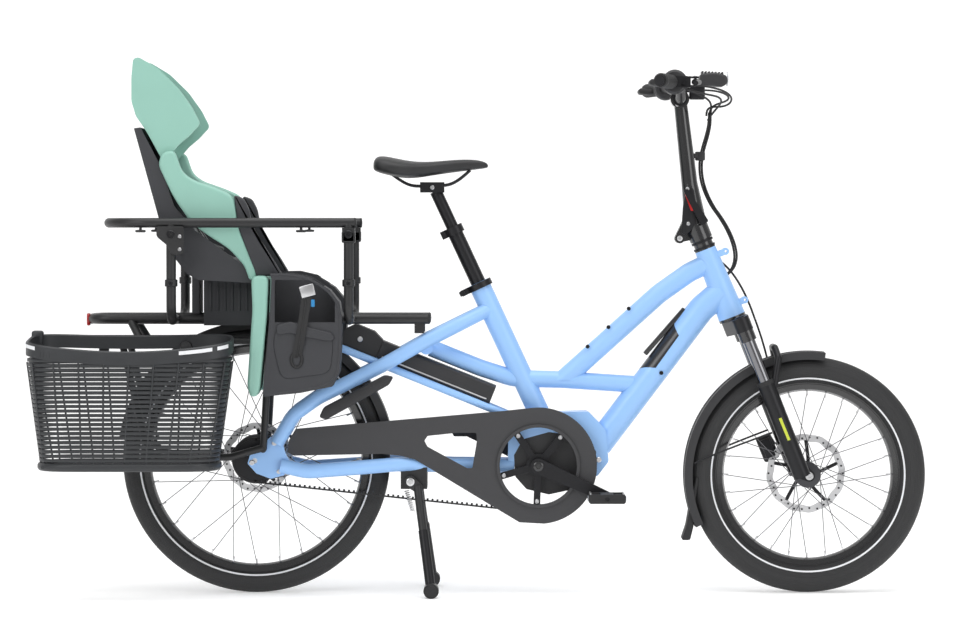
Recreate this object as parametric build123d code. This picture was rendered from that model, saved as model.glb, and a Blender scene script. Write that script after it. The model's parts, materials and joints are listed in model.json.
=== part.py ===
"""A compact cargo bicycle with a belt drive, a child seat, a hand rail and a side basket.

Millimetres. +X is forward, +Y is the bicycle's left, +Z is up. The origin is on the ground, under the
middle of the bicycle's bounding box. Each node is written to parts/NODE.step.
"""
import os
from math import cos, radians, sin

from build123d import *

# ---- driving dimensions ------------------------------------------------------------------------
FRONT_R = 265.0
FRONT_WIDTH = 62.0
REAR_R = 300.0
REAR_WIDTH = 50.0
FRONT_AXLE = (731.0, FRONT_R)
REAR_AXLE = (-506.0, REAR_R)
CRANK = (126.0, 288.0)
CRANK_LENGTH = 165.0
CRANK_ANGLE = -24.0
RING_R = 105.0
COG_R = 49.0
BELT_Y = -50.0
HEAD_LEAN = 21.6
HEAD_BOTTOM = (561.4, 619.6)
HEAD_LENGTH = 162.4
SEAT_LEAN = 25.0
SEAT_TOP = (-7.8, 696.0)
SEAT_TUBE_LENGTH = 322.0
LEG_Y = 64.0
LEG_X = 12.0
AXLE_RAKE = 27.2
AXLE_DROP = 392.0
RAIL_Z = 616.0
RAIL_Y = 62.0
PANNIER_Y = 88.0
PANNIER_Z = 568.0
RING_Z = 830.0
RING_Y = 200.0
SEAT_HALF = 158.0
BAR_HALF = 334.0
FOLD_PIN = (-45.1, 206.5)
STAND_PIVOT = (-159.0, 253.0)
SPOKES = 28
WALL = 2.0
RUN_FIT = 0.05

STEER = Pos(HEAD_BOTTOM[0], 0, HEAD_BOTTOM[1]) * Rot(0, -HEAD_LEAN, 0)
SEAT = Pos(SEAT_TOP[0], 0, SEAT_TOP[1]) * Rot(0, -SEAT_LEAN, 0)
BATTERY = Pos(-89.0, 0, 489.7) * Rot(0, 21.9, 0)


# ---- helpers -----------------------------------------------------------------------------------
def tube(points, radius, bend=None, wall=None):
    """A round bar or tube along straight runs joined by arcs."""
    if bend is None:
        path = Line(points[0], points[1])
    else:
        path = FilletPolyline(*points, radius=bend)
    section = Circle(radius)
    if wall:
        section = section - Circle(radius - wall)
    return sweep(Plane(origin=path @ 0, z_dir=path % 0) * section, path=path)


def disc(x, z, radius, y0, y1):
    """A cylinder across the bicycle between two Y values."""
    return Pos(x, (y0 + y1) / 2, z) * Rot(90, 0, 0) * Cylinder(radius, abs(y1 - y0))


def block(x0, x1, y0, y1, z0, z1):
    size = (abs(x1 - x0), abs(y1 - y0), abs(z1 - z0))
    return Pos((x0 + x1) / 2, (y0 + y1) / 2, (z0 + z1) / 2) * Box(*size)


def side_plate(points, y0, y1, corner=0.0):
    """An outline in the XZ plane, given a thickness in Y."""
    face = make_face(Polyline(*[(x, z) for x, z in points], close=True))
    if corner:
        face = fillet(face.vertices(), corner)
    return extrude(Plane(origin=(0, y0, 0), x_dir=(1, 0, 0), z_dir=(0, -1, 0)) * face, -(y1 - y0))


def hull_plate(circles, y0, y1):
    """The outline round two or more circles in the XZ plane, given a thickness in Y."""
    edges = [e for x, z, r in circles for e in (Pos(x, z) * Circle(r)).edges()]
    face = make_hull(edges)
    return extrude(Plane(origin=(0, y0, 0), x_dir=(1, 0, 0), z_dir=(0, -1, 0)) * face, -(y1 - y0))


def both_sides(shape):
    return [shape, mirror(shape, about=Plane.XZ)]


def save(name, *shapes):
    solids = [s for shape in shapes for s in (shape if isinstance(shape, list) else [shape])]
    solids = [s for shape in solids for s in shape.solids()]
    whole = solids[0] if len(solids) == 1 else Compound(children=solids)
    whole.label = name
    export_step(whole, f"parts/{name}.step")


os.makedirs("parts", exist_ok=True)


# ---- wheels ------------------------------------------------------------------------------------
def ring(axle, outer, inner, half):
    return disc(*axle, outer, -half, half) - disc(*axle, inner, -half - 1, half + 1)


def tyre(axle, outer, width, bead):
    """A round-backed tyre on its rim, open towards the hub."""
    section_r = width / 2
    centre = outer - section_r
    shape = Plane.XZ * (Pos(centre, 0) * Circle(section_r))
    shape -= Plane.XZ * (Pos(bead - 20, 0) * Rectangle(40, width))
    body = revolve(shape, Axis.Z)
    return Pos(axle[0], 0, axle[1]) * Rot(90, 0, 0) * body


def spokes(axle, hub_r, flange_y, rim_r):
    """Crossed wire spokes, alternating from flange to flange."""
    bars = []
    for i in range(SPOKES):
        side = 1 if i % 2 else -1
        out = 2.2 if (i // 2) % 2 else -2.2
        rim_a = radians(360.0 * i / SPOKES)
        hub_a = rim_a + radians(52.0 if (i // 2) % 2 else -52.0)
        start = Vector(axle[0] + hub_r * cos(hub_a), side * (flange_y + out), axle[1] + hub_r * sin(hub_a))
        end = Vector(axle[0] + rim_r * cos(rim_a), side * 3.0, axle[1] + rim_r * sin(rim_a))
        run = end - start
        bars.append(Plane(origin=start, z_dir=run) * Pos(0, 0, run.length / 2) * Cylinder(0.9, run.length))
    return bars


def hub(axle, shell_r, flange_r, flange_y, axle_half, rotor_y, rotor_r):
    body = disc(*axle, shell_r, -flange_y, flange_y)
    for side in (-1, 1):
        body += disc(*axle, flange_r, side * flange_y - 2.0, side * flange_y + 2.0)
    body += disc(*axle, 22, flange_y, rotor_y)
    body += disc(*axle, 5.0, -axle_half, axle_half)
    rotor = disc(*axle, rotor_r, rotor_y, rotor_y + 2.0) - disc(*axle, rotor_r - 18, rotor_y - 1, rotor_y + 3)
    carrier = disc(*axle, 24, rotor_y, rotor_y + 2.0) - disc(*axle, 5.0, rotor_y - 1, rotor_y + 3)
    for i in range(5):
        arm = Pos(rotor_r / 2, 0, 0) * Box(rotor_r - 18, 2.0, 9)
        carrier += Pos(axle[0], rotor_y + 1.0, axle[1]) * Rot(0, 72 * i, 0) * arm
    carrier -= disc(*axle, 5.0, rotor_y - 1, rotor_y + 3)
    return [body, carrier + rotor]


save("rear_tyre", tyre(REAR_AXLE, REAR_R, REAR_WIDTH, 253.5))
save("rear_rim", ring(REAR_AXLE, 253.0, 238.0, 13.0))
save("rear_spokes", spokes(REAR_AXLE, 55.4, 28.0, 236.5))
save("rear_hub", hub(REAR_AXLE, 42.0, 54.0, 28.0, 66.0, 46.0, 80.0))
save("front_tyre", tyre(FRONT_AXLE, FRONT_R, FRONT_WIDTH, 203.5))
save("front_rim", ring(FRONT_AXLE, 203.0, 190.0, 14.0))
save("front_spokes", spokes(FRONT_AXLE, 30.4, 24.0, 188.5))
save("front_hub", hub(FRONT_AXLE, 14.0, 29.0, 24.0, 44.0, 34.0, 90.0))


# ---- frame tubes -------------------------------------------------------------------------------
def head_tube():
    body = Cone(31, 24, HEAD_LENGTH, align=(Align.CENTER, Align.CENTER, Align.MIN))
    for z in (24.5, 141.7):
        body += Pos(28, 0, z) * Box(24, 24, 14)
        body += Pos(40, 0, z) * Rot(90, 0, 0) * Cylinder(8, 24)
        body -= Pos(41, 0, z) * Rot(90, 0, 0) * Cylinder(2.75, 26)
    body -= Pos(0, 0, -1) * Cylinder(17.5, HEAD_LENGTH + 2, align=(Align.CENTER, Align.CENTER, Align.MIN))
    return STEER * body


def head_solid():
    return STEER * Cone(31, 24, HEAD_LENGTH, align=(Align.CENTER, Align.CENTER, Align.MIN))


def headset():
    """Upper and lower bearing rings and their covers."""
    rings = []
    for z0, outer in ((-6.0, 31.0), (HEAD_LENGTH, 24.0)):
        cover = Pos(0, 0, z0 + 3) * (Cylinder(outer, 6) - Cylinder(14.3 + RUN_FIT, 8))
        rings.append(STEER * cover)
    for z0 in (0.0, HEAD_LENGTH - 12.0):
        race = Pos(0, 0, z0 + 6) * (Cylinder(17.5, 12) - Cylinder(14.3 + RUN_FIT, 14))
        rings.append(STEER * race)
    return rings


def seat_tube_solid(extra=0.0):
    down = SEAT_TUBE_LENGTH + extra
    return SEAT * (Pos(0, 0, -down / 2) * Cylinder(24, down))


def seat_tube():
    bore = Pos(0, 0, -SEAT_TUBE_LENGTH / 2) * Cylinder(17.0 + RUN_FIT, SEAT_TUBE_LENGTH + 4)
    return seat_tube_solid() - SEAT * bore


DRIVE_UNIT = [(75, 262), (100, 234), (150, 222), (215, 236), (252, 266), (256, 318), (232, 352), (150, 362),
              (92, 346), (72, 310)]
CRADLE = [(58, 264), (60, 372), (94, 404), (238, 408), (277, 368), (284, 296), (258, 262)]
DOWN_TUBE = [(539, 0, 676), (493, 0, 637), (262, 0, 331)]
TOP_TUBE = [(514, 0, 742), (466, 0, 719), (398, 0, 671), (172, 0, 467.8)]
MID_TUBE = [(-114, 0, 549), (-4, 0, 505), (70, 0, 481), (180, 0, 478), (366, 0, 466)]
STRUT = [(14, -8, 636), (-50, -44, 604), (-122, -60, 568), (-222, -60, 512), (-366, -65, 440),
         (-420, -72, 402), (-458, -77, 338)]
CHAINSTAY = [(-448, -79, 290), (-390, -77, 276), (-278, -68, 284), (-190, -57, 291), (-60, -30, 287),
             (70, -24, 286)]
BATTERY_STAY = [(66, -34, 396), (30, -42, 411), (-244, -42, 522), (-316, -42, 551)]
STRUT_BENDS = (60, 60, 120, 90, 60)


def cradle():
    outer = side_plate(CRADLE, -36, 36, corner=13)
    return outer - side_plate(DRIVE_UNIT, -60, 60) - side_plate([(73, 200), (257, 200), (255, 300), (73, 300)],
                                                                  -60, 60)


def frame_nodes():
    head = head_solid()
    seat = seat_tube_solid()
    casting = side_plate(CRADLE, -36, 36, corner=13)
    down_full = tube(DOWN_TUBE, 30, bend=80)
    mid_full = tube(MID_TUBE, 19, bend=90)
    top_full = tube(TOP_TUBE, 22, bend=(90, 120))
    strut_full = both_sides(tube(STRUT, 16, bend=STRUT_BENDS))
    brace = Pos(-124, 0, 551) * Rot(90, 0, 0) * Cylinder(15, 104)
    save("head_tube", head_tube())
    save("headset", headset())
    save("motor_cradle", cradle() - seat)
    save("seat_tube", seat_tube())
    save("down_tube", tube(DOWN_TUBE, 30, bend=80, wall=WALL) - head - casting)
    save("mid_tube", tube(MID_TUBE, 19, bend=90, wall=WALL) - seat - down_full)
    save("top_tube", tube(TOP_TUBE, 22, bend=(90, 120), wall=WALL) - head - down_full - mid_full
         - block(100, 300, -40, 40, 400, 478))
    struts = [tube(STRUT, 16, bend=STRUT_BENDS, wall=WALL) - seat - drop_plate()]
    bar = brace - mid_full - strut_full[0] - strut_full[1]
    stays = both_sides(tube(BATTERY_STAY, 8.5, bend=(60, 60)))
    stays = [stays[i] - casting - strut_full[i] - seat for i in (0, 1)]
    save("rear_stays", both_sides(struts[0]), bar, stays)
    plates = both_sides(drop_plate())
    lower = both_sides(tube(CHAINSTAY, 16, bend=90, wall=WALL))
    save("chainstays", [lower[i] - casting - plates[i] for i in (0, 1)], plates)


def drop_plate():
    outline = [(-470, 354), (-444, 344), (-438, 318), (-426, 296), (-440, 268), (-470, 260), (-502, 272),
               (-522, 294), (-514, 320), (-490, 334)]
    return side_plate(outline, -77.5, -67.5, corner=5) - disc(*REAR_AXLE, 6.0, -90, -60)


frame_nodes()


# ---- drive -------------------------------------------------------------------------------------
def drive_unit():
    body = side_plate(DRIVE_UNIT, -36, 40, corner=8)
    return body - disc(*CRANK, 12.0 + RUN_FIT, -60, 60)


def belt():
    outer = hull_plate([(*REAR_AXLE, COG_R + 1.5), (*CRANK, RING_R + 1.5)], BELT_Y - 6, BELT_Y + 6)
    inner = hull_plate([(*REAR_AXLE, COG_R - 1.5), (*CRANK, RING_R - 1.5)], BELT_Y - 8, BELT_Y + 8)
    return outer - inner


def belt_ring():
    body = ring_at(CRANK, RING_R - 1.8, RING_R - 18, BELT_Y - 5, BELT_Y + 5)
    spider = disc(*CRANK, 26, BELT_Y - 5, BELT_Y + 2)
    for i in range(5):
        arm = Pos((RING_R - 18 + 20) / 2, 0, 0) * Box(RING_R - 30, 7, 15)
        spider += Pos(CRANK[0], BELT_Y - 1.5, CRANK[1]) * Rot(0, 72 * i + 20, 0) * arm
    return body + spider - disc(*CRANK, 12.0, BELT_Y - 20, BELT_Y + 20)


def ring_at(centre, outer, inner, y0, y1):
    return disc(*centre, outer, y0, y1) - disc(*centre, inner, y0 - 1, y1 + 1)


def rear_cog():
    return ring_at(REAR_AXLE, COG_R - 1.8, 5.0 + RUN_FIT, BELT_Y - 5, BELT_Y + 5)


def belt_guard():
    outline = [(-434, 319), (-430, 345), (-415, 371), (-222, 387.5), (40, 410), (111, 417.5)]
    edge = Polyline(*outline)
    arc = ThreePointArc((111, 417.5), (257, 289), (139, 159))
    tail = Polyline((139, 159), (84, 162), (29, 195), (-105, 276), (-150, 303), (-183, 311), (-222, 315),
                    (-419, 311), (-434, 319))
    face = make_face([*edge.edges(), *arc.edges(), *tail.edges()])
    plane = Plane(origin=(0, -67, 0), x_dir=(1, 0, 0), z_dir=(0, -1, 0))
    plate = extrude(plane * face, -3.5)
    plate -= disc(*CRANK, 86, -70, -55)
    plate -= tube(CHAINSTAY, 16.5, bend=90)
    window = [(-128, 344), (-121, 355), (-54, 362), (-12, 362), (-11, 344), (-21, 283), (-33, 283), (-121, 331)]
    return plate - side_plate(window, -70, -55, corner=4)


def crank_point(sign, y):
    a = radians(CRANK_ANGLE)
    return (CRANK[0] + sign * CRANK_LENGTH * cos(a), y, CRANK[1] + sign * CRANK_LENGTH * sin(a))


def crank_arms():
    """Spindle and both arms, with the pedal axles fixed in their ends."""
    body = disc(*CRANK, 12.0, -82, 82)
    for side in (-1, 1):
        x, _, z = crank_point(-side, 0)
        arm = hull_plate([(*CRANK, 17), (x, z, 12)], side * 70, side * 82)
        axle = disc(x, z, 5.0, side * 82, side * 170)
        body = body + arm + axle
    return body


def pedal(side):
    x, _, z = crank_point(-side, 0)
    body = Pos(x, side * 131, z) * Box(82, 84, 20)
    body = fillet(body.edges().filter_by(Axis.Y), 6)
    for s in (-1, 1):
        body -= Pos(x + s * 25, side * 131, z) * Box(22, 56, 24)
    return body - disc(x, z, 5.0 + RUN_FIT, side * 80, side * 180)


save("drive_unit", drive_unit())
save("drive_belt", belt())
save("belt_ring", belt_ring())
save("rear_cog", rear_cog())
save("belt_guard", belt_guard())
save("crank_arms", crank_arms())
save("pedal_left", pedal(1))
save("pedal_right", pedal(-1))


# ---- battery -----------------------------------------------------------------------------------
def battery_pack():
    body = Pos(-14, 0, 0) * Box(272, 76, 44)
    body = fillet(body.edges().filter_by(Axis.X), 8)
    return BATTERY * body - seat_tube_solid()


def battery_lock_head():
    profile = [(-238, -20), (-150.3, -22), (-150.3, 22), (-176, 34), (-222, 34), (-240, 14)]
    return BATTERY * side_plate(profile, -34, 34, corner=5)


save("battery_pack", battery_pack())
save("battery_lock_head", battery_lock_head())


# ---- fork, stem and handlebar ------------------------------------------------------------------
def fork_crown():
    """Steerer, crown, stanchions and their upper sleeves, one bonded unit."""
    edges = []
    for x, y, r in ((0, 0, 27), (LEG_X, LEG_Y, 20), (LEG_X, -LEG_Y, 20)):
        edges += (Pos(x, y) * Circle(r)).edges()
    body = Pos(0, 0, -38) * extrude(make_hull(edges), 31.7)
    body += Pos(0, 0, -10) * Cylinder(14.3, 232, align=(Align.CENTER, Align.CENTER, Align.MIN))
    for side in (-1, 1):
        body += Pos(LEG_X, side * LEG_Y, -240) * Cylinder(14, 210, align=(Align.CENTER, Align.CENTER, Align.MIN))
        body += Pos(LEG_X, side * LEG_Y, -58) * Cylinder(18.5, 24, align=(Align.CENTER, Align.CENTER, Align.MIN))
    return STEER * body


def fork_lowers():
    body = None
    for side in (-1, 1):
        leg = Pos(LEG_X, side * LEG_Y, -388) * Cylinder(19.5, 223, align=(Align.CENTER, Align.CENTER, Align.MIN))
        inner, outer = sorted((side * 48, side * 60))
        leg += hull_plate([(LEG_X, -372, 18), (AXLE_RAKE, -AXLE_DROP, 13)], inner, outer)
        bore = Cylinder(14 + RUN_FIT, 150, align=(Align.CENTER, Align.CENTER, Align.MIN))
        leg -= Pos(LEG_X, side * LEG_Y, -300) * bore
        body = leg if body is None else body + leg
    arch = [(14, -66, -200), (60, -58, -121), (62, -32, -99), (62, 32, -99), (60, 58, -121), (14, 66, -200)]
    bridge = tube(arch, 8, bend=(10, 10, 10, 10))
    for side in (-1, 1):
        bridge -= Pos(LEG_X, side * LEG_Y, -300) * Cylinder(17, 150, align=(Align.CENTER, Align.CENTER, Align.MIN))
    body = body + bridge
    body -= Pos(AXLE_RAKE, 0, -AXLE_DROP) * Rot(90, 0, 0) * Cylinder(5.0 + RUN_FIT, 200)
    return STEER * body


def mudguard(axle, radius, half, start, end, wall=2.0, lip=16):
    """A channel of thin sheet over a tyre, from one angle to another."""
    x, z = axle
    shell = disc(x, z, radius + wall, -half - wall, half + wall) - disc(x, z, radius, -half, half)
    shell -= disc(x, z, radius - lip, -half - 9, half + 9)
    reach = radius * 3
    steps = [start + (end - start) * i / 4 for i in range(5)]
    wedge = [(x, z)] + [(x + reach * cos(radians(a)), z + reach * sin(radians(a))) for a in steps]
    return shell & side_plate(wedge, -half - 9, half + 9)


def stem_base():
    body = Pos(0, 0, 169) * Cylinder(22, 17, align=(Align.CENTER, Align.CENTER, Align.MIN))
    body += Pos(0, 0, 186) * Cylinder(26, 36, align=(Align.CENTER, Align.CENTER, Align.MIN))
    body += hull_plate([(*FOLD_PIN, 9), (-12, 204, 12)], -8, 8)
    body -= Cylinder(14.3, 700)
    body -= Pos(FOLD_PIN[0], 0, FOLD_PIN[1]) * Rot(90, 0, 0) * Cylinder(4.2, 60)
    return STEER * body


POST_LOW = Plane(origin=(466, 0, 918), z_dir=(-21.8, 0, 192.6))


def handlepost():
    base = STEER * Pos(0, 0, 222.6) * Circle(26)
    neck = POST_LOW * Circle(18)
    body = loft([base.face(), neck.face()])
    body += POST_LOW * Cone(18, 15, 180, align=(Align.CENTER, Align.CENTER, Align.MIN))
    body += disc(443, 1107, 21, -24, 24)
    for side in (-1, 1):
        inner, outer = sorted((side * 8.5, side * 19))
        arm = hull_plate([(*FOLD_PIN, 11), (-14, 238, 9)], inner, outer)
        arm -= Pos(0, 0, 122.6) * Box(53, 80, 200)
        body += STEER * arm
    body += STEER * (Pos(FOLD_PIN[0], 0, FOLD_PIN[1]) * Rot(90, 0, 0) * Cylinder(4.0, 36))
    return body - disc(443, 1107, 15.9, -40, 40)


BAR = [(443, 0, 1107), (443, -60, 1107), (440, -110, 1127), (425, -165, 1138), (384, -BAR_HALF, 1137)]


def handlebar():
    half = tube(BAR, 11.1, bend=(40, 30, 40))
    body = both_sides(half)
    bar = body[0] + body[1] + disc(443, 1107, 15.9, -28, 28)
    for side in (-1, 1):
        bar += block(412, 456, side * 196, side * 224, 1126, 1150)
        bar += block(440, 474, side * 200, side * 216, 1146, 1150)
        bar += Pos(467, side * 208, 1139) * Cylinder(3, 20)
    return bar


def grip(side):
    start = Vector(412.0, side * 226, 1137.6)
    end = Vector(384.6, side * (BAR_HALF - 1), 1137.0)
    run = end - start
    frame = Plane(origin=start, x_dir=(-run.Y * side, run.X * side, 0), z_dir=run)
    body = frame * Cylinder(16, run.length, align=(Align.CENTER, Align.CENTER, Align.MIN))
    palm = Pos(-24, -2, run.length - 52) * Box(36, 13, 96)
    wing = frame * fillet(palm.edges().filter_by(Axis.Z), 6)
    full = tube(BAR, 11.1, bend=(40, 30, 40))
    if side > 0:
        full = mirror(full, about=Plane.XZ)
    return body + wing - full


def brake_lever(side):
    body = hull_plate([(466, 1138, 7), (474, 1138, 5)], *sorted((side * 202, side * 216)))
    blade = tube([(468, side * 206, 1138), (474, side * 240, 1136), (462, side * 312, 1132)], 5.5, bend=20)
    return body + blade - Pos(467, side * 208, 1138) * Cylinder(3 + RUN_FIT, 30)


def front_light():
    body = block(486, 552, -34, 34, 1136, 1172)
    body = fillet(body.edges().filter_by(Axis.Z), 8)
    return body + block(464.5, 500, -9, 9, 1104, 1140)


def stem_latch():
    """A lever along the near side of the stem, pivoted at its foot."""
    lever = side_plate([(450, 902), (460, 906), (506, 836), (498, 826), (488, 828)], -38, -30, corner=3)
    return lever + Pos(497, -34, 832) * Rot(0, 59.74, 0) * Cylinder(3.5, 18)


save("fork_crown", fork_crown())
save("fork_lowers", fork_lowers())
save("front_mudguard", mudguard(FRONT_AXLE, FRONT_R + 10, 34, 82, 205))
save("stem_base", stem_base())
save("handlepost", handlepost())
save("handlebar", handlebar())
save("grips", grip(1), grip(-1))
save("brake_lever_left", brake_lever(1))
save("brake_lever_right", brake_lever(-1))
save("front_light", front_light())
save("stem_latch", stem_latch())


# ---- seat posts and saddle ---------------------------------------------------------------------
def collar(z0, z1, outer, inner):
    body = Cylinder(outer, z1 - z0) + Pos(-outer - 2, 0, 0) * Box(14, 20, z1 - z0)
    return Pos(0, 0, (z0 + z1) / 2) * (body - Cylinder(inner, z1 - z0 + 2))


def seat_clamp():
    return SEAT * collar(-14, -0.2, 29, 24)


def clamp_lever():
    lever = Pos(-45, -2, -7) * Box(8, 46, 11) + Pos(-42, -18, -7) * Box(10, 12, 11)
    lever = fillet(lever.edges().filter_by(Axis.Y), 2) + Pos(-41, -20, -7) * Cylinder(3.5, 14)
    return SEAT * lever


def seatpost_lower():
    body = Pos(0, 0, -240) * Cylinder(17, 367, align=(Align.CENTER, Align.CENTER, Align.MIN))
    body += collar(120, 138, 22, 10)
    body -= Pos(0, 0, -241) * Cylinder(13.6 + RUN_FIT, 400, align=(Align.CENTER, Align.CENTER, Align.MIN))
    return SEAT * body


def seatpost_upper():
    """Upper post with the clamp that holds the saddle's rails."""
    body = SEAT * (Pos(0, 0, -30) * Cylinder(13.6, 256, align=(Align.CENTER, Align.CENTER, Align.MIN)))
    body += block(-138, -84, -29, 29, 898, 921)
    for side in (-1, 1):
        body -= tube([(-150, side * 22, 912), (-70, side * 22, 912)], 3.5)
    return body


SADDLE_SIDE = [(-243, 958), (-228, 984), (-147, 967), (-60, 974), (0, 971), (18, 950), (-31, 946), (-100, 936),
               (-154, 926), (-215, 935)]
SADDLE_PLAN = [(20, -12), (-40, -22), (-110, -36), (-165, -82), (-215, -92), (-244, -78), (-244, 78), (-215, 92),
               (-165, 82), (-110, 36), (-40, 22), (20, 12)]


def saddle():
    top = side_plate(SADDLE_SIDE, -100, 100, corner=4)
    plan = fillet(make_face(Polyline(*SADDLE_PLAN, close=True)).vertices(), 5)
    body = top & Pos(0, 0, 900) * extrude(plan, 120)
    rails = []
    for side in (-1, 1):
        path = [(-205, side * 22, 938), (-165, side * 22, 912), (-70, side * 22, 912), (-24, side * 12, 950)]
        rails.append(tube(path, 3.5, bend=25) - body)
    return [body, rails[0], rails[1]]


save("seat_clamp", seat_clamp())
save("clamp_lever", clamp_lever())
save("seatpost_lower", seatpost_lower())
save("seatpost_upper", seatpost_upper())
save("saddle", saddle())


# ---- rack --------------------------------------------------------------------------------------
TOP_RAIL = [(-120, -RAIL_Y, RAIL_Z), (-869, -RAIL_Y, RAIL_Z), (-869, RAIL_Y, RAIL_Z), (-120, RAIL_Y, RAIL_Z)]


def rear_rack():
    body = tube(TOP_RAIL, 11.5, bend=40)
    for x in (-300, -700, -790):
        body += disc(x, RAIL_Z, 7, -RAIL_Y, RAIL_Y)
    strut = both_sides(tube(STRUT, 16, bend=STRUT_BENDS))
    for side in (-1, 1):
        body += block(-150, -128, side * 55, side * 69, 584, 610)
        body += tube([(-880, side * PANNIER_Y, PANNIER_Z), (-474, side * PANNIER_Y, PANNIER_Z)], 8)
        body += tube([(-782, side * 64, 612), (-757, side * PANNIER_Y, PANNIER_Z)], 9)
        leg = [(-466, side * 64, 612), (-472, side * PANNIER_Y, 570), (-486, side * PANNIER_Y, 326)]
        body += tube(leg, 8, bend=60)
        guard = [(-486, side * 90, 330), (-560, side * 90, 309), (-740, side * 90, 307), (-800, side * 88, 566)]
        body += tube(guard, 8, bend=(60, 50))
        body += disc(-486, 326, 7, side * 77.5, side * 97)
    return body - strut[0] - strut[1]


save("rear_rack", rear_rack())
save("rear_mudguard", mudguard(REAR_AXLE, REAR_R + 8, 29, 9, 171))


# ---- child seat --------------------------------------------------------------------------------
SHELL_OUT = [(-766, 1038), (-711, 838), (-680, 757), (-650, 718), (-625, 704), (-500, 697), (-500, 716),
             (-558, 760), (-633, 814), (-678, 867), (-709, 958), (-737, 1012), (-752, 1040)]
SHELL_IN = [(-752, 1060), (-696, 842), (-666, 765), (-638, 730), (-618, 717), (-480, 710), (-480, 1060)]
PANEL = [(-675, 988), (-657, 943), (-635, 925), (-587, 911), (-522, 881), (-503, 818), (-469, 723),
         (-467, 708), (-500, 708), (-511, 717), (-558, 761), (-632, 815), (-677, 868), (-708, 958)]
CALF = [(-500, 707.5), (-467, 707.5), (-471, 625), (-486, 462), (-494, 449), (-508, 449), (-514, 466), (-503, 640)]
GUARD = [(-464, 719), (-416, 720), (-377, 711), (-334, 683), (-312, 656), (-306.5, 623), (-309, 554),
         (-312, 502), (-328, 471), (-398, 457), (-478, 449), (-480, 462), (-465, 625), (-461, 705)]
GUARD_IN = [(-455, 740), (-416, 740), (-377, 740), (-340, 680), (-320, 652), (-314, 623), (-316, 554),
            (-319, 505), (-332, 479), (-398, 465), (-470, 457), (-473, 464), (-459, 625), (-455, 705)]
HEADREST = [(-771, 1194), (-755, 1197), (-711, 1162), (-664, 1118), (-631, 1071), (-615, 1045), (-675, 992),
            (-704, 965), (-737, 1028), (-768, 1066), (-772, 1097)]
HEADREST_IN = [(-757, 1220), (-755, 1072), (-722, 1032), (-690, 975), (-690, 900), (-500, 900), (-500, 1220)]
CUSHION = [(-706, 936), (-686, 852), (-656, 772), (-632, 741), (-614, 727), (-480, 716), (-468, 732), (-600, 750),
           (-626, 772), (-660, 850), (-680, 936)]


def seat_shell():
    return side_plate(SHELL_OUT, -SEAT_HALF, SEAT_HALF) - side_plate(SHELL_IN, -SEAT_HALF + 8, SEAT_HALF - 8)


def seat_side_panels():
    """Coloured outer panels: a wing beside the seat and a long wall behind each calf."""
    wing = side_plate(PANEL, -SEAT_HALF - 8, -SEAT_HALF + 8, corner=4)
    wing -= side_plate(SHELL_OUT, -SEAT_HALF, SEAT_HALF)
    calf = side_plate(CALF, -205, -112, corner=4) - side_plate(SHELL_OUT, -SEAT_HALF, SEAT_HALF)
    return both_sides(wing) + both_sides(calf)


def leg_guards():
    """Troughs for the legs: a wall beside the wheel, open outwards above the foot."""
    outer = side_plate(GUARD, -205, -112)
    outer -= side_plate(GUARD_IN, -200, -118)
    outer -= block(-454, -322, -210, -198, 612, 705)
    return both_sides(outer)


def foot_rest(side):
    y0, y1 = sorted((side * 121, side * 197))
    return block(-448, -326, y0, y1, 508, 515) + block(-334, -326, y0, y1, 508, 560)


def seat_base():
    body = block(-618, -506, -84, 84, RAIL_Z - 14, 706) - block(-620, -500, -RAIL_Y - 12, RAIL_Y + 12, 500, 628)
    body += block(-646, -630, -60, 60, 628, 735)
    return body - side_plate(SHELL_OUT, -SEAT_HALF, SEAT_HALF) - side_plate(SHELL_IN, -200, 200)


def headrest():
    body = side_plate(HEADREST, -149, 149) - side_plate(HEADREST_IN, -137, 137)
    tongue = side_plate([(-736.5, 1010), (-714, 922), (-707, 922), (-722, 985), (-722, 1010)], -30, 30)
    return body + tongue


def cushion():
    return side_plate(CUSHION, -132, 132, corner=3)


def harness():
    """Two shoulder straps and a crotch strap that meet in a buckle."""
    straps = []
    for side in (-1, 1):
        run = [(-677, 930), (-657, 850.5), (-653, 850.5), (-673, 930)]
        low = [(-656.5, 849), (-623.5, 773.5), (-610, 765), (-606, 769), (-619, 779), (-652.5, 849)]
        y0, y1 = sorted((side * 30, side * 58))
        straps.append(side_plate(run, y0, y1))
        straps.append(side_plate(low, y0, y1))
    buckle = side_plate([(-614, 767), (-590, 753), (-584, 763), (-600, 783)], -24, 24)
    return straps + [buckle]


save("seat_shell", seat_shell())
save("seat_side_panels", seat_side_panels())
save("leg_guards", leg_guards())
save("foot_rest_left", foot_rest(1))
save("foot_rest_right", foot_rest(-1))
save("seat_base", seat_base())
save("headrest", headrest())
save("seat_cushion", cushion())
save("seat_harness", harness())


# ---- hand rail ---------------------------------------------------------------------------------
def rail_ring():
    path = [(-280, -RING_Y, RING_Z), (-825, -RING_Y, RING_Z), (-825, RING_Y, RING_Z), (-280, RING_Y, RING_Z)]
    return tube(path, 10.7, bend=90)


def rail_posts():
    """Four bent posts from the ring down to the rack's top rails, with collars."""
    full = rail_ring()
    posts = []
    for x in (-681, -292):
        path = [(x, -RING_Y, RING_Z), (x, -RING_Y, RAIL_Z), (x, -RAIL_Y - 11.5, RAIL_Z)]
        post = tube(path, 10.7, bend=36)
        post += block(x - 14, x + 14, -RING_Y - 13, -RING_Y + 13, RING_Z - 40, RING_Z - 10.9)
        posts.append(post - full)
    return [p for post in posts for p in both_sides(post)]


save("handrail_ring", rail_ring())
save("handrail_posts", rail_posts())


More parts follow.
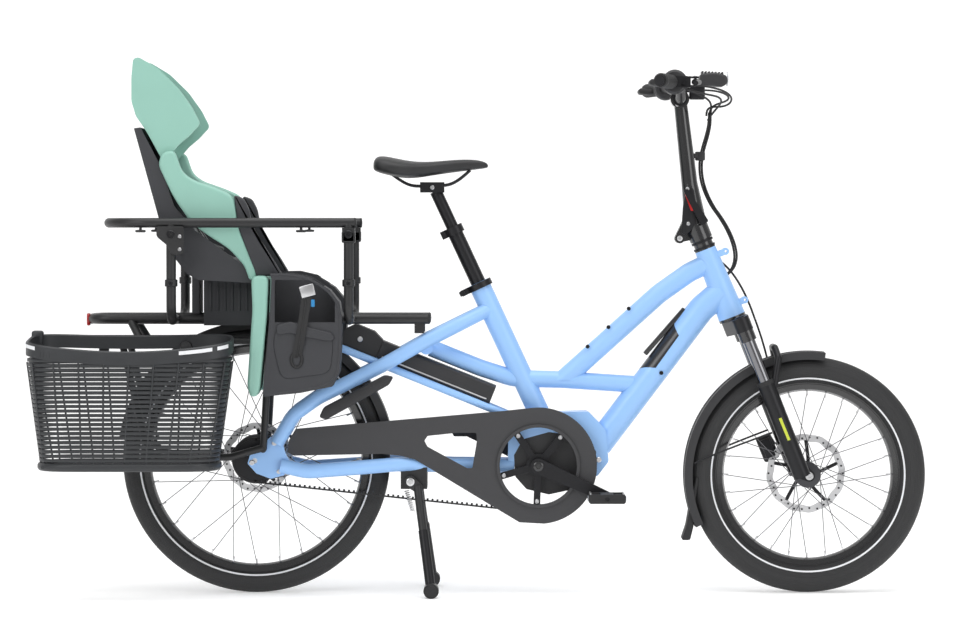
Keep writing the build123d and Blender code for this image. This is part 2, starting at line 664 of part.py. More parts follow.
# ---- basket ------------------------------------------------------------------------------------
def basket_form(inset, floor):
    """A tapered D-shaped tub."""
    faces = []
    for z, x0, x1, y0 in ((289 + floor, -966, -577, -305), (584, -996, -541, -336)):
        outline = Polyline((x0 + inset, -114 - inset), (x1 - inset, -114 - inset), (x1 - inset, y0 + inset),
                           (x0 + inset, y0 + inset), close=True)
        face = make_face(outline)
        near = [v for v in face.vertices() if v.Y < -200]
        face = fillet(near, 95 - inset)
        far = [v for v in face.vertices() if v.Y > -120 - inset]
        face = fillet(far, 14)
        faces.append(Pos(0, 0, z) * face)
    return loft(faces)


def basket():
    body = basket_form(0, 0) - basket_form(4.0, 5.0)
    lid = Pos(-770, -225, 596) * Rot(5.0, 0, 0) * Box(600, 330, 30)
    body -= lid
    for x in (-837, -650):
        hook = block(x - 11, x + 11, -118, -76, 552, 582)
        hook -= Pos(x, -PANNIER_Y, PANNIER_Z) * Rot(0, 90, 0) * Cylinder(8 + RUN_FIT, 40)
        hook -= block(x - 20, x + 20, -PANNIER_Y - 7, -PANNIER_Y + 7, 540, PANNIER_Z)
        body += hook - basket_form(4.0, 5.0)
    return body


save("basket", basket())


# ---- kickstand ---------------------------------------------------------------------------------
def kickstand_mount():
    body = block(-181, -122, -60, 60, 236, 284)
    full = tube(CHAINSTAY, 16, bend=90)
    for stay in both_sides(full):
        body -= stay
    body -= block(-190, -110, -34, 34, 274, 300)
    return body.solids().sort_by(SortBy.VOLUME)[-1] - disc(*STAND_PIVOT, 7 + RUN_FIT, -90, 90)


def kickstand_legs():
    body = disc(*STAND_PIVOT, 7, -80, 80)
    for side in (-1, 1):
        y0, y1 = sorted((side * 68, side * 80))
        body += hull_plate([(*STAND_PIVOT, 13), (-143, 240, 11)], y0, y1)
        path = [(-143, side * 74, 244), (-136, side * 86, 186), (-113, side * 140, 22)]
        body += tube(path, 9.5, bend=60)
        body += disc(-112, 17, 17, *sorted((side * 126, side * 162)))
    return body


save("kickstand_mount", kickstand_mount())
save("kickstand_legs", kickstand_legs())


# ---- hoses -------------------------------------------------------------------------------------
def front_hoses():
    """The hose bundle from the bar's front to the port in the head tube."""
    route = [(500, 26, 1098), (512, 26, 1050), (492, 25, 1000), (484, 25, 945), (502, 26, 890), (544, 27, 832),
             (570, 26, 775), (568, 20, 732), (540, 8, 706)]
    return tube(route, 5.0, bend=(60, 60, 80, 90, 90, 60, 24)) - head_solid()


save("front_hoses", front_hoses())
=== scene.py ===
# %% [markdown]
# # A cargo bicycle, dressed over its CAD frame
# The CAD model gives each part its true size and place. This script gives the bicycle its looks: paint,
# plastic, rubber and cloth on the CAD nodes, and finer pieces where the CAD solids are plain. Sizes are
# written in millimetres, as in the CAD source, and `MM` turns them into Blender's metres.

# %% Load the frame
import json
from math import atan2, cos, hypot, pi, radians, sin

import bmesh
import bpy
from mathutils import Matrix, Vector

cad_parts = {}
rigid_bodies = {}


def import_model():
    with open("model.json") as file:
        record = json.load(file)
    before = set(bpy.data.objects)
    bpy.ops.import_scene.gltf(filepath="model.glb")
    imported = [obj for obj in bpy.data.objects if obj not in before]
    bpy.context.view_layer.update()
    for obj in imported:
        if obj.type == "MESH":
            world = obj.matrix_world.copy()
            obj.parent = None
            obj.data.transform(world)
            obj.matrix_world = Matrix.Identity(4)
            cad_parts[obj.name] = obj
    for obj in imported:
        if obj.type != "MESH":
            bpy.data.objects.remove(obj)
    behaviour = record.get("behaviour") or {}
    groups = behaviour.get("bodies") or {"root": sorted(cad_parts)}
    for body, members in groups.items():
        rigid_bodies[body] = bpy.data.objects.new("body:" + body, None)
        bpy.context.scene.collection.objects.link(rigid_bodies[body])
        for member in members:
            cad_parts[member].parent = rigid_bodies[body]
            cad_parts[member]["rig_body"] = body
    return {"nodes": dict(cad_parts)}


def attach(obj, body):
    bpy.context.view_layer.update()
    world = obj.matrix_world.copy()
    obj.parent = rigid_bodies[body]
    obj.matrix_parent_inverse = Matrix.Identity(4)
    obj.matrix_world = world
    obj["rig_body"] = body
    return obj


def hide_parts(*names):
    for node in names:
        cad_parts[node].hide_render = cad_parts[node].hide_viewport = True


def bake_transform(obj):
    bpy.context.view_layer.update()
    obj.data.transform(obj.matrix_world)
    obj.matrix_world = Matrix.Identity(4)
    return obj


MM = 0.001
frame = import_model()
FRONT = (731, 265)
REAR = (-506, 300)
CRANK = (126, 288)
HEAD = (561.4, 619.6)
LEAN = radians(21.6)
SIDES = ((-1, "right"), (1, "left"))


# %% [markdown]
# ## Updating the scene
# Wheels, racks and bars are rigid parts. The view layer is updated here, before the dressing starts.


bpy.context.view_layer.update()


# %% [markdown]
# ## Materials
# Every finish here is a Principled shader whose base values are constants, with a noise on Object
# coordinates for a fine bump and slight changes of colour. Paint gets a clear coat, plastic a moulded
# grain, and metal a polish.

# %% One function for most finishes
def node(material, kind, operation=None, **values):
    """A new shader node; its inputs are set by name, with _ for a space."""
    made = material.node_tree.nodes.new("ShaderNode" + kind)
    if operation:
        made.operation = operation
    for key, value in values.items():
        made.inputs[key.replace("_", " ")].default_value = value
    return made


def finish(name, colour, roughness, metallic=0.0, grain=900.0, bump=0.15, coat=0.0, mottle=0.06):
    material = bpy.data.materials.new(name)
    material.use_nodes = True
    link = material.node_tree.links.new
    shader = material.node_tree.nodes["Principled BSDF"]
    shader.inputs["Base Color"].default_value = (*colour, 1)
    shader.inputs["Roughness"].default_value = roughness
    shader.inputs["Metallic"].default_value = metallic
    shader.inputs["Coat Weight"].default_value = coat
    shader.inputs["Coat Roughness"].default_value = 0.12
    place = node(material, "TexCoord")
    noise = node(material, "TexNoise", Scale=grain, Detail=3.0)
    relief = node(material, "Bump", Strength=bump, Distance=0.0004)
    cloud = node(material, "TexNoise", Scale=18.0)
    tint = node(material, "Mix")
    tint.data_type = "RGBA"
    tint.inputs[6].default_value = (*[c * (1 - mottle) for c in colour], 1)
    tint.inputs[7].default_value = (*[min(1, c * (1 + mottle)) for c in colour], 1)
    link(place.outputs["Object"], noise.inputs["Vector"])
    link(noise.outputs["Fac"], relief.inputs["Height"])
    link(relief.outputs["Normal"], shader.inputs["Normal"])
    link(place.outputs["Object"], cloud.inputs["Vector"])
    link(cloud.outputs["Fac"], tint.inputs[0])
    link(tint.outputs[2], shader.inputs["Base Color"])
    return material


paint = finish("blue_paint", (0.30, 0.53, 0.90), 0.42, grain=2600, bump=0.05, coat=0.25, mottle=0.02)
black_metal = finish("black_anodised", (0.016, 0.016, 0.018), 0.36, metallic=0.5, grain=2400, bump=0.1)
gloss_black = finish("gloss_black", (0.012, 0.012, 0.013), 0.16, coat=0.6, grain=1500, bump=0.03)
powder = finish("powder_coat", (0.014, 0.014, 0.015), 0.42, grain=1600, bump=0.2)
black_plastic = finish("moulded_plastic", (0.022, 0.022, 0.024), 0.52, grain=1400, bump=0.3)
guard_plastic = finish("guard_plastic", (0.038, 0.038, 0.041), 0.55, grain=1600, bump=0.25)
basket_plastic = finish("basket_plastic", (0.026, 0.028, 0.031), 0.46, grain=1200, bump=0.2)
shell_plastic = finish("shell_plastic", (0.034, 0.035, 0.040), 0.6, grain=1500, bump=0.35)
green_plastic = finish("sage_plastic", (0.27, 0.50, 0.42), 0.45, grain=1800, bump=0.12, mottle=0.03)
spoke_steel = finish("spoke_steel", (0.16, 0.16, 0.17), 0.35, metallic=0.7, grain=700, bump=0.05)
silver = finish("silver_metal", (0.62, 0.62, 0.63), 0.28, metallic=1.0, grain=700, bump=0.1)
rubber = finish("rubber", (0.016, 0.016, 0.017), 0.7, grain=900, bump=0.3)
saddle_skin = finish("saddle_cover", (0.013, 0.013, 0.014), 0.5, grain=1100, bump=0.45)
red_metal = finish("red_anodised", (0.55, 0.02, 0.02), 0.3, metallic=0.6, grain=900, bump=0.05)
reflector = finish("reflective_white", (0.80, 0.81, 0.83), 0.3, grain=1500, bump=0.2)
lime = finish("lime_stripe", (0.55, 0.62, 0.05), 0.4, grain=900, bump=0.05)
lens = finish("lamp_lens", (0.40, 0.42, 0.45), 0.08, grain=300, bump=0.3, coat=1.0)
red_lens = finish("tail_lens", (0.45, 0.01, 0.01), 0.12, grain=300, bump=0.3, coat=1.0)
decal = finish("black_decal", (0.010, 0.010, 0.012), 0.3, grain=900, bump=0.02, coat=0.5)
tab_blue = finish("blue_tab", (0.02, 0.22, 0.50), 0.4, grain=900, bump=0.05)


def crown_and_tubes():
    """Black above a plane across the steering axis, polished tube below it."""
    material = finish("crown_and_tubes", (0.016, 0.016, 0.018), 0.36, metallic=0.5, grain=2400, bump=0.05)
    link = material.node_tree.links.new
    shader = material.node_tree.nodes["Principled BSDF"]
    black, tube = (0.016, 0.016, 0.018, 1), (0.20, 0.20, 0.21, 1)
    crown_foot = 62
    place = node(material, "TexCoord")
    along = node(material, "VectorMath", "DOT_PRODUCT")
    along.inputs[1].default_value = (-sin(LEAN), 0, cos(LEAN))
    below = node(material, "Math", "LESS_THAN")
    below.inputs[1].default_value = (-HEAD[0] * sin(LEAN) + HEAD[1] * cos(LEAN) - crown_foot) * MM
    link(place.outputs["Object"], along.inputs[0])
    link(along.outputs["Value"], below.inputs[0])
    for name, above_value, below_value in (("Roughness", 0.36, 0.10), ("Metallic", 0.5, 1.0)):
        mix = node(material, "Mix")
        mix.inputs[2].default_value = above_value
        mix.inputs[3].default_value = below_value
        link(below.outputs[0], mix.inputs[0])
        link(mix.outputs[0], shader.inputs[name])
    colour = node(material, "Mix")
    colour.data_type = "RGBA"
    colour.inputs[6].default_value = black
    colour.inputs[7].default_value = tube
    link(below.outputs[0], colour.inputs[0])
    link(colour.outputs[2], shader.inputs["Base Color"])
    return material


crown_finish = crown_and_tubes()
print(len(bpy.data.materials), "materials")


# %% [markdown]
# ## A tyre's tread and a cloth's weave
# A tread and a weave are patterns, so each has nodes of its own. The tread is a brick pattern wound round
# the wheel: the angle about the axle is one direction and the distance across the tyre is the other.

# %% Tread and weave
def tread(name, centre):
    material = finish(name, (0.020, 0.020, 0.021), 0.62, grain=1500, bump=0.3)
    link = material.node_tree.links.new
    shader = material.node_tree.nodes["Principled BSDF"]
    grain = shader.inputs["Normal"].links[0].from_node
    place = node(material, "TexCoord")
    shift = node(material, "VectorMath", "SUBTRACT")
    shift.inputs[1].default_value = (centre[0] * MM, 0, centre[1] * MM)
    split = node(material, "SeparateXYZ")
    angle = node(material, "Math", "ARCTAN2")
    across = node(material, "Math", "MULTIPLY")
    across.inputs[1].default_value = 3.4
    join = node(material, "CombineXYZ")
    brick = node(material, "TexBrick", Scale=26.0, Mortar_Size=0.05, Mortar_Smooth=0.4)
    relief = node(material, "Bump", Strength=0.55, Distance=0.002)
    relief.invert = True
    for start, end in ((place.outputs["Object"], shift.inputs[0]), (shift.outputs[0], split.inputs[0]),
                       (split.outputs[2], angle.inputs[0]), (split.outputs[0], angle.inputs[1]),
                       (angle.outputs[0], join.inputs[0]), (split.outputs[1], across.inputs[0]),
                       (across.outputs[0], join.inputs[1]), (join.outputs[0], brick.inputs["Vector"]),
                       (brick.outputs["Fac"], relief.inputs["Height"]),
                       (grain.outputs["Normal"], relief.inputs["Normal"]),
                       (relief.outputs["Normal"], shader.inputs["Normal"])):
        link(start, end)
    return material


def weave(name, colour, scale):
    material = finish(name, colour, 0.85, grain=500, bump=0.2, mottle=0.15)
    link = material.node_tree.links.new
    shader = material.node_tree.nodes["Principled BSDF"]
    shader.inputs["Sheen Weight"].default_value = 0.3
    place = node(material, "TexCoord")
    height = node(material, "Math", "MULTIPLY")
    for slot, direction in ((0, "X"), (1, "Z")):
        wave = node(material, "TexWave", Scale=scale)
        wave.bands_direction = direction
        link(place.outputs["Object"], wave.inputs["Vector"])
        link(wave.outputs["Fac"], height.inputs[slot])
    relief = node(material, "Bump", Strength=0.4, Distance=0.0006)
    link(height.outputs[0], relief.inputs["Height"])
    link(relief.outputs["Normal"], shader.inputs["Normal"])
    return material


front_rubber = tread("front_tread", FRONT)
rear_rubber = tread("rear_tread", REAR)
pad_cloth = weave("pad_cloth", (0.030, 0.031, 0.036), 500)
webbing = weave("webbing", (0.018, 0.018, 0.02), 1200)
print("tread and weave materials made")

# %% [markdown]
# ## Paint the CAD nodes
# A CAD node keeps its mesh, so only its material changes. The list says which finish the real part has.

# %% One finish for each CAD node
FINISHES = {
    "head_tube seat_tube down_tube mid_tube top_tube rear_stays chainstays motor_cradle": paint,
    "stem_base handlepost headset": gloss_black,
    "fork_crown": crown_finish,
    "fork_lowers seatpost_upper seatpost_lower seat_clamp clamp_lever stem_latch handlebar": black_metal,
    "rear_rack handrail_ring handrail_posts kickstand_mount kickstand_legs": powder,
    "front_rim rear_rim front_hub rear_hub rear_cog crank_arms belt_ring": black_metal,
    "brake_lever_left brake_lever_right": black_metal,
    "front_spokes rear_spokes": spoke_steel,
    "drive_unit battery_pack battery_lock_head front_mudguard rear_mudguard front_light": black_plastic,
    "belt_guard": guard_plastic,
    "seat_shell leg_guards seat_base foot_rest_left foot_rest_right headrest": shell_plastic,
    "seat_side_panels": green_plastic,
    "drive_belt grips front_hoses pedal_left pedal_right front_tyre rear_tyre": rubber,
    "seat_cushion seat_harness": pad_cloth,
    "saddle": saddle_skin,
    "basket": basket_plastic,
}
for names, material in FINISHES.items():
    for label in names.split():
        frame["nodes"][label].data.materials.clear()
        frame["nodes"][label].data.materials.append(material)
print("painted", sum(len(names.split()) for names in FINISHES), "CAD nodes")


# %% [markdown]
# ## Four ways to make a piece
# Most pieces on a bicycle are turned, cut from sheet, bent from tube or moulded as a block. Four helpers
# follow that: `lathe` spins a profile, `slab` gives an outline a thickness, `wire` sweeps a round section
# along a smooth line and `block` bevels a cube.

# %% Helpers
def add(name, mesh_data, body, material, angle=35):
    if isinstance(mesh_data, bmesh.types.BMesh):
        bmesh.ops.remove_doubles(mesh_data, verts=mesh_data.verts, dist=1e-6)
        bmesh.ops.recalc_face_normals(mesh_data, faces=mesh_data.faces)
        mesh = bpy.data.meshes.new(name)
        mesh_data.to_mesh(mesh)
        mesh_data.free()
    else:
        mesh = mesh_data
    piece = bpy.data.objects.new(name, mesh)
    bpy.context.scene.collection.objects.link(piece)
    mesh.materials.clear()
    mesh.materials.append(material)
    for face in mesh.polygons:
        face.use_smooth = True
    mesh.set_sharp_from_angle(angle=radians(angle))
    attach(piece, body)
    return piece


def lathe(name, profile, centre, axis, body, material, steps=64):
    """profile: (radius, height along the axis) points; a ring if it ends where it starts."""
    bm = bmesh.new()
    verts = [bm.verts.new((r * MM, 0, h * MM)) for r, h in profile]
    edges = [bm.edges.new(pair) for pair in zip(verts, verts[1:])]
    bmesh.ops.spin(bm, geom=verts + edges, cent=(0, 0, 0), axis=(0, 0, 1), angle=2 * pi, steps=steps,
                   use_merge=True)
    bmesh.ops.remove_doubles(bm, verts=bm.verts, dist=1e-6)
    turn = Vector(axis).to_track_quat("Z", "Y").to_matrix().to_4x4()
    bmesh.ops.transform(bm, matrix=Matrix.Translation(Vector(centre) * MM) @ turn, verts=bm.verts)
    return add(name, bm, body, material)


def push(bm, face, step):
    """Extrude one face by a step in millimetres."""
    made = bmesh.ops.extrude_face_region(bm, geom=[face])
    moved = [v for v in made["geom"] if isinstance(v, bmesh.types.BMVert)]
    bmesh.ops.translate(bm, vec=[v * MM for v in step], verts=moved)


def slab(name, outline, y0, y1, body, material, edge=1.5, segments=3):
    bm = bmesh.new()
    face = bm.faces.new([bm.verts.new((x * MM, y0 * MM, z * MM)) for x, z in outline])
    push(bm, face, (0, y1 - y0, 0))
    rims = [e for e in bm.edges if abs(e.verts[0].co.y - e.verts[1].co.y) < 1e-6]
    bmesh.ops.bevel(bm, geom=rims, offset=edge * MM, affect="EDGES", segments=segments, profile=0.5,
                    material=-1)
    return add(name, bm, body, material)


def rounded(points, radius, steps=5):
    """The same outline with each corner turned into an arc."""
    out = []
    for i, corner in enumerate(points):
        p = Vector(corner)
        before = Vector(points[i - 1]) - p
        after = Vector(points[(i + 1) % len(points)]) - p
        reach = min(radius, before.length * 0.45, after.length * 0.45)
        a = p + before.normalized() * reach
        b = p + after.normalized() * reach
        for k in range(steps + 1):
            t = k / steps
            out.append(tuple((1 - t) ** 2 * a + 2 * t * (1 - t) * p + t * t * b))
    return out


def wire(name, points, radius, body, material, closed=False, smooth=True, flat=0.0):
    curve = bpy.data.curves.new(name + "_line", "CURVE")
    curve.dimensions = "3D"
    spline = curve.splines.new("NURBS" if smooth else "POLY")
    spline.points.add(len(points) - 1)
    for knot, point in zip(spline.points, points):
        knot.co = (*[v * MM for v in point], 1)
    spline.use_cyclic_u = closed
    spline.order_u = 4
    spline.use_endpoint_u = not closed
    spline.resolution_u = 6
    curve.bevel_depth = radius * MM
    curve.bevel_resolution = 3
    curve.extrude = flat * MM
    curve.use_fill_caps = True
    curve.twist_mode = "Z_UP" if flat else "MINIMUM"
    holder = bpy.data.objects.new(name + "_holder", curve)
    mesh = bpy.data.meshes.new_from_object(holder)
    bpy.data.objects.remove(holder)
    mesh.name = name
    return add(name, mesh, body, material, angle=50)


def block(name, low, high, body, material, edge=2.0, turn=None):
    bm = bmesh.new()
    bmesh.ops.create_cube(bm, size=1.0)
    size = [(b - a) * MM for a, b in zip(low, high)]
    middle = Vector([(a + b) / 2 * MM for a, b in zip(low, high)])
    bmesh.ops.scale(bm, vec=size, verts=bm.verts)
    bmesh.ops.bevel(bm, geom=bm.edges[:], offset=edge * MM, affect="EDGES", segments=3, profile=0.5,
                    material=-1)
    matrix = Matrix.Translation(middle)
    if turn:
        matrix = matrix @ Matrix.Rotation(radians(turn), 4, "Y")
    bmesh.ops.transform(bm, matrix=matrix, verts=bm.verts)
    return add(name, bm, body, material)


def ribbon(bm, rows):
    """Faces between rows of two points each."""
    rows = [[bm.verts.new([v * MM for v in point]) for point in row] for row in rows]
    for a, b in zip(rows, rows[1:]):
        bm.faces.new((a[0], a[1], b[1], b[0]))


def stamp(name, outline, y0, y1, body, material, edge, segments=3):
    """A slab on each side of the bicycle; its y values are distances from the middle plane."""
    for sign, side in SIDES:
        low, high = sorted((sign * y0, sign * y1))
        slab(f"{name}_{side}", outline, low, high, body, material, edge, segments)


def bolt(name, point, radius, axis, body, material=silver, proud=3.0):
    """A socket head: domed rim and a recess."""
    profile = [(0.001, 0), (radius, 0), (radius, proud * 0.7), (radius * 0.8, proud), (radius * 0.5, proud),
               (radius * 0.45, proud * 0.35), (0.001, proud * 0.35)]
    return lathe(name, profile, point, axis, body, material, steps=24)


print("helpers ready")


# %% [markdown]
# ## Wheels
# A tyre is a round section spun about the axle. Near the bead its sidewall comes down to the rim, and a
# white reflective ring is printed on it, so the ring is a very thin band that lies on the sidewall.

# %% Tyres with their reflective rings
def tyre(side, centre, outer, half, bead, material, stripe):
    section = outer - half
    start = atan2(15, bead - section)
    arc = [start - (2 * start) * k / 36 for k in range(37)]
    profile = [(section + half * cos(a), half * sin(a)) for a in arc]
    profile += [(bead, -15), (bead + 6, -12), (section + (half - 6) * 0.2, -half + 7)]
    profile += [(outer - 8, -8), (outer - 8, 8), (section + (half - 6) * 0.2, half - 7), (bead + 6, 12),
                profile[0]]
    body = f"{side}_wheel"
    piece = lathe(f"{side}_tyre_tread", profile, (centre[0], 0, centre[1]), (0, 1, 0), body, material,
                  steps=128)
    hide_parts(f"{side}_tyre")
    for sign, label in ((-1, "right"), (1, "left")):
        ys = [(r, sign * (half * (1 - ((r - section) / half) ** 2) ** 0.5 + 0.25)) for r in stripe]
        band = [ys[0], ys[1], (ys[1][0], ys[1][1] - sign * 0.8), (ys[0][0], ys[0][1] - sign * 0.8), ys[0]]
        lathe(f"{side}_reflective_ring_{label}", band, (centre[0], 0, centre[1]), (0, 1, 0), body,
              reflector, steps=128)


tyre("front", FRONT, 265, 31, 203.5, front_rubber, (215.0, 218.5))
tyre("rear", REAR, 300, 25, 253.5, rear_rubber, (258.5, 262.0))
print("tyres made")


# %% Rims, nipples and brake rotors
def rim_wall(side, centre, outer, inner, half, count):
    body = f"{side}_wheel"
    profile = [(outer + 4, -half + 1), (outer + 4, -half - 0.8), (inner + 2, -half + 1.5),
               (inner - 2.5, -4), (inner - 2.5, 4), (inner + 2, half - 1.5), (outer + 4, half + 0.8),
               (outer + 4, half - 1), (outer - 8, half - 3), (outer - 8, -half + 3), (outer + 4, -half + 1)]
    piece = lathe(f"{side}_rim_section", profile, (centre[0], 0, centre[1]), (0, 1, 0), body, gloss_black,
                  steps=128)
    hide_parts(f"{side}_rim")
    for i in range(count):
        a = 2 * pi * i / count
        point = (centre[0] + (inner - 13) * cos(a), 3 if i % 2 else -3, centre[1] + (inner - 13) * sin(a))
        lathe(f"{side}_nipple_{i:02d}", [(0.01, 0), (1.9, 0), (2.0, 9), (2.6, 11.5), (0.01, 11.5)], point,
              (cos(a), 0, sin(a)), body, silver, steps=10)


def rotor(side, centre, radius, y):
    """A brake rotor: a wavy ring with holes, on five curved arms."""
    body = f"{side}_wheel"
    for i in range(5):
        arm = []
        for r, swing in ((20, 0), (40, 10), (60, 16), (radius - 15, 18)):
            a = radians(72 * i + swing)
            arm.append((centre[0] + r * cos(a), y + 1, centre[1] + r * sin(a)))
        wire(f"{side}_rotor_arm_{i}", arm, 1.0, body, black_metal, flat=3.0)
    bm = bmesh.new()
    verts = []
    for i in range(144):
        a = 2 * pi * i / 144
        wave = 1.6 * sin(12 * a)
        verts.append([bm.verts.new(((centre[0] + r * cos(a)) * MM, y * MM, (centre[1] + r * sin(a)) * MM))
                      for r in (radius - 17 + wave, radius - 0.5 + wave * 0.6 - 1)])
    for i in range(144):
        bm.faces.new((verts[i][0], verts[i][1], verts[(i + 1) % 144][1], verts[(i + 1) % 144][0]))
    bmesh.ops.solidify(bm, geom=bm.faces[:], thickness=2.0 * MM)
    add(f"{side}_rotor_track", bm, body, silver)
    for i in range(30):
        a = 2 * pi * i / 30
        r = radius - 6 - 5 * (i % 3) / 2
        point = (centre[0] + r * cos(a), y - 2.4, centre[1] + r * sin(a))
        lathe(f"{side}_rotor_hole_{i:02d}", [(0.01, 0), (2.2, 0), (2.2, 2.9), (0.01, 2.9)], point,
              (0, 1, 0), body, black_metal, steps=12)


def hub(side, centre, shell, flange, reach, rotor_y, axle):
    """Barrel, two flanges and the axle, turned as one profile about the axle."""
    body = f"{side}_wheel"
    profile = [(0.01, -axle), (5, -axle), (5, -reach - 8), (shell * 0.5 + 4, -reach - 7),
               (shell * 0.5 + 7, -reach - 3), (flange, -reach - 2), (flange, -reach + 2),
               (shell + 2, -reach + 5), (shell, -reach + 9), (shell, reach - 9), (shell + 2, reach - 5),
               (flange, reach - 2), (flange, reach + 2), (22, reach + 3), (22, rotor_y), (24, rotor_y),
               (24, rotor_y + 2), (8, rotor_y + 3), (5, rotor_y + 4), (5, axle), (0.01, axle)]
    piece = lathe(f"{side}_hub_barrel", profile, (centre[0], 0, centre[1]), (0, 1, 0), body, hub_grey,
                  steps=64)
    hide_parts(f"{side}_hub")
    for i in range(6):
        a = 2 * pi * (i + 0.5) / 6
        bolt(f"{side}_rotor_bolt_{i}", (centre[0] + 18 * cos(a), rotor_y + 2, centre[1] + 18 * sin(a)), 3.0,
             (0, 1, 0), body, silver, proud=2)
    rotor(side, centre, 90 if side == "front" else 80, rotor_y)


rim_wall("front", FRONT, 203, 190, 14, 28)
rim_wall("rear", REAR, 253, 238, 13, 28)
hub_grey = finish("hub_metal", (0.07, 0.07, 0.075), 0.3, metallic=0.9, grain=900, bump=0.05)
hub("front", FRONT, 14, 29, 24, 34, 44)
hub("rear", REAR, 42, 54, 28, 46, 66)
for body, centre, y, label in (("front_wheel", FRONT, -44, "front"), ("rear_wheel", REAR, -66, "rear")):
    lathe(f"{label}_hub_cap", [(0.01, 0), (9, 0), (9, 4), (6, 7), (0.01, 7)], (centre[0], y, centre[1]),
          (0, -1, 0), body, silver, steps=32)
print("rims, nipples, hubs and rotors made")

# %% [markdown]
# ## The side basket
# The real basket is one moulding of many thin level slats held by upright ribs, between a deep rim and a
# floor. So it is built as closed rounded hoops at an even pitch, with ribs across them. The rim dips in
# the middle of each side.

# %% Basket hoops, ribs and floor
def tub_point(share, height):
    """A point round the tub's outline: share 0 to 1 goes once round, height 0 is the floor and 1 the rim."""
    x0, x1 = -964 - 30 * height, -579 + 36 * height
    y0, y1 = -303 - 31 * height, -116
    line = rounded([(x0, y1), (x0, y0), (x1, y0), (x1, y1)], 80, steps=8)
    line = line + [line[0]]
    lengths = [hypot(b[0] - a[0], b[1] - a[1]) for a, b in zip(line, line[1:])]
    left = share % 1.0 * sum(lengths)
    for (a, b), length in zip(zip(line, line[1:]), lengths):
        if left <= length:
            t = left / length
            return a[0] + (b[0] - a[0]) * t, a[1] + (b[1] - a[1]) * t
        left -= length
    return line[-1]


def rim_height(x, y):
    dip = 16 * max(0, cos(pi * (x + 768) / 430)) * (1 if y < -200 else 0.3)
    return 577 + 0.08 * (y + 225) - dip


def hoop(name, height, z, radius, flat):
    points = [(*tub_point(i / 72, height), z) for i in range(72)]
    return wire(name, points, radius, "basket", basket_plastic, closed=True, smooth=False, flat=flat)


floor_hoop = hoop("basket_floor_band", 0.03, 299, 7.0, 2.0)
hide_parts("basket")
SLATS = 23
RIBS = 22
for i in range(SLATS):
    t = (i + 1) / (SLATS + 1)
    hoop(f"basket_slat_{i:02d}", 0.04 + 0.84 * t, 304 + 238 * t, 1.6, 2.0)
for i in range(RIBS):
    share = (i + 0.5) / RIBS
    rib = [(*tub_point(share, h), 300 + 252 * h) for h in (0.0, 0.3, 0.6, 0.9)]
    wire(f"basket_rib_{i:02d}", rib, 2.2, "basket", basket_plastic)
for i in range(9):
    x = -944 + 43 * i
    wire(f"basket_floor_bar_{i}", [(x, -290, 296), (x, -128, 296)], 3.0, "basket", basket_plastic,
         smooth=False)
for i in range(4):
    y = -282 + 46 * i
    wire(f"basket_floor_run_{i}", [(-958, y, 297), (-584, y, 297)], 3.0, "basket", basket_plastic,
         smooth=False)
print(SLATS, "slats and", RIBS, "ribs")


# %% Basket rim, reflectors and hooks
def rim_band():
    bm = bmesh.new()
    rows = []
    for i in range(96):
        x, y = tub_point(i / 96, 0.97)
        inner = (-768 + (x + 768) * 0.976, -225 + (y + 225) * 0.955)
        top = rim_height(x, y)
        rows.append([bm.verts.new((px * MM, py * MM, pz * MM)) for px, py, pz in
                     ((x, y, top - 30), (x, y, top - 3), ((x + inner[0]) / 2, (y + inner[1]) / 2, top),
                      (inner[0], inner[1], top - 3), (inner[0], inner[1], top - 30))])
    for i, row in enumerate(rows):
        after = rows[(i + 1) % len(rows)]
        for k in range(5):
            bm.faces.new((row[k], row[(k + 1) % 5], after[(k + 1) % 5], after[k]))
    return add("basket_rim", bm, "basket", basket_plastic)


def rim_patch(name, share0, share1, drop0, drop1, material):
    """A thin band that lies on the outside of the rim."""
    bm = bmesh.new()
    rows = []
    for i in range(13):
        x, y = tub_point(share0 + (share1 - share0) * i / 12, 0.985)
        top = rim_height(x, y)
        rows.append([(x, y, top - d) for d in (drop0, drop1)])
    ribbon(bm, rows)
    bmesh.ops.solidify(bm, geom=bm.faces[:], thickness=0.8 * MM)
    return add(name, bm, "basket", material)


rim_band()
for name, a, b in (("basket_reflector_rear", 0.155, 0.215), ("basket_reflector_front", 0.475, 0.535),
                   ("basket_reflector_corner", 0.545, 0.575)):
    rim_patch(name, a, b, 5, 13, reflector)
for i in range(5):
    for k in range(6):
        share = 0.225 + 0.06 * i + 0.006 * k
        rim_patch(f"basket_rim_rib_{i}_{k}", share, share + 0.0018, 14, 27, basket_plastic)
for i, x in enumerate((-837, -650)):
    hook = [(-121, 540), (-111, 560), (-100, 577), (-86, 579), (-77, 572), (-77, 560), (-80, 560),
            (-80, 571), (-88, 576.6), (-96.5, 571), (-104, 556), (-116, 536)]
    bm = bmesh.new()
    face = bm.faces.new([bm.verts.new(((x - 11) * MM, y * MM, z * MM)) for y, z in rounded(hook, 4)])
    push(bm, face, (22, 0, 0))
    add(f"basket_hook_{i}", bm, "basket", black_plastic)
block("basket_horn", (-994, -150, 560), (-968, -124, 592), "basket", basket_plastic, edge=6)
lathe("basket_knob", [(0.01, 0), (12, 0), (14, 4), (12, 12), (0.01, 13)], (-655, -118, 556), (0, -1, 0),
      "basket", black_plastic, steps=32)
print("rim, reflectors and hooks made")

# %% [markdown]
# ## The child seat
# The seat is a dark moulded shell with sage green outer panels. Panels with a generous rounded edge catch
# the light as moulded plastic does, so each is an outline with its corners turned into arcs and its rims
# bevelled wide.

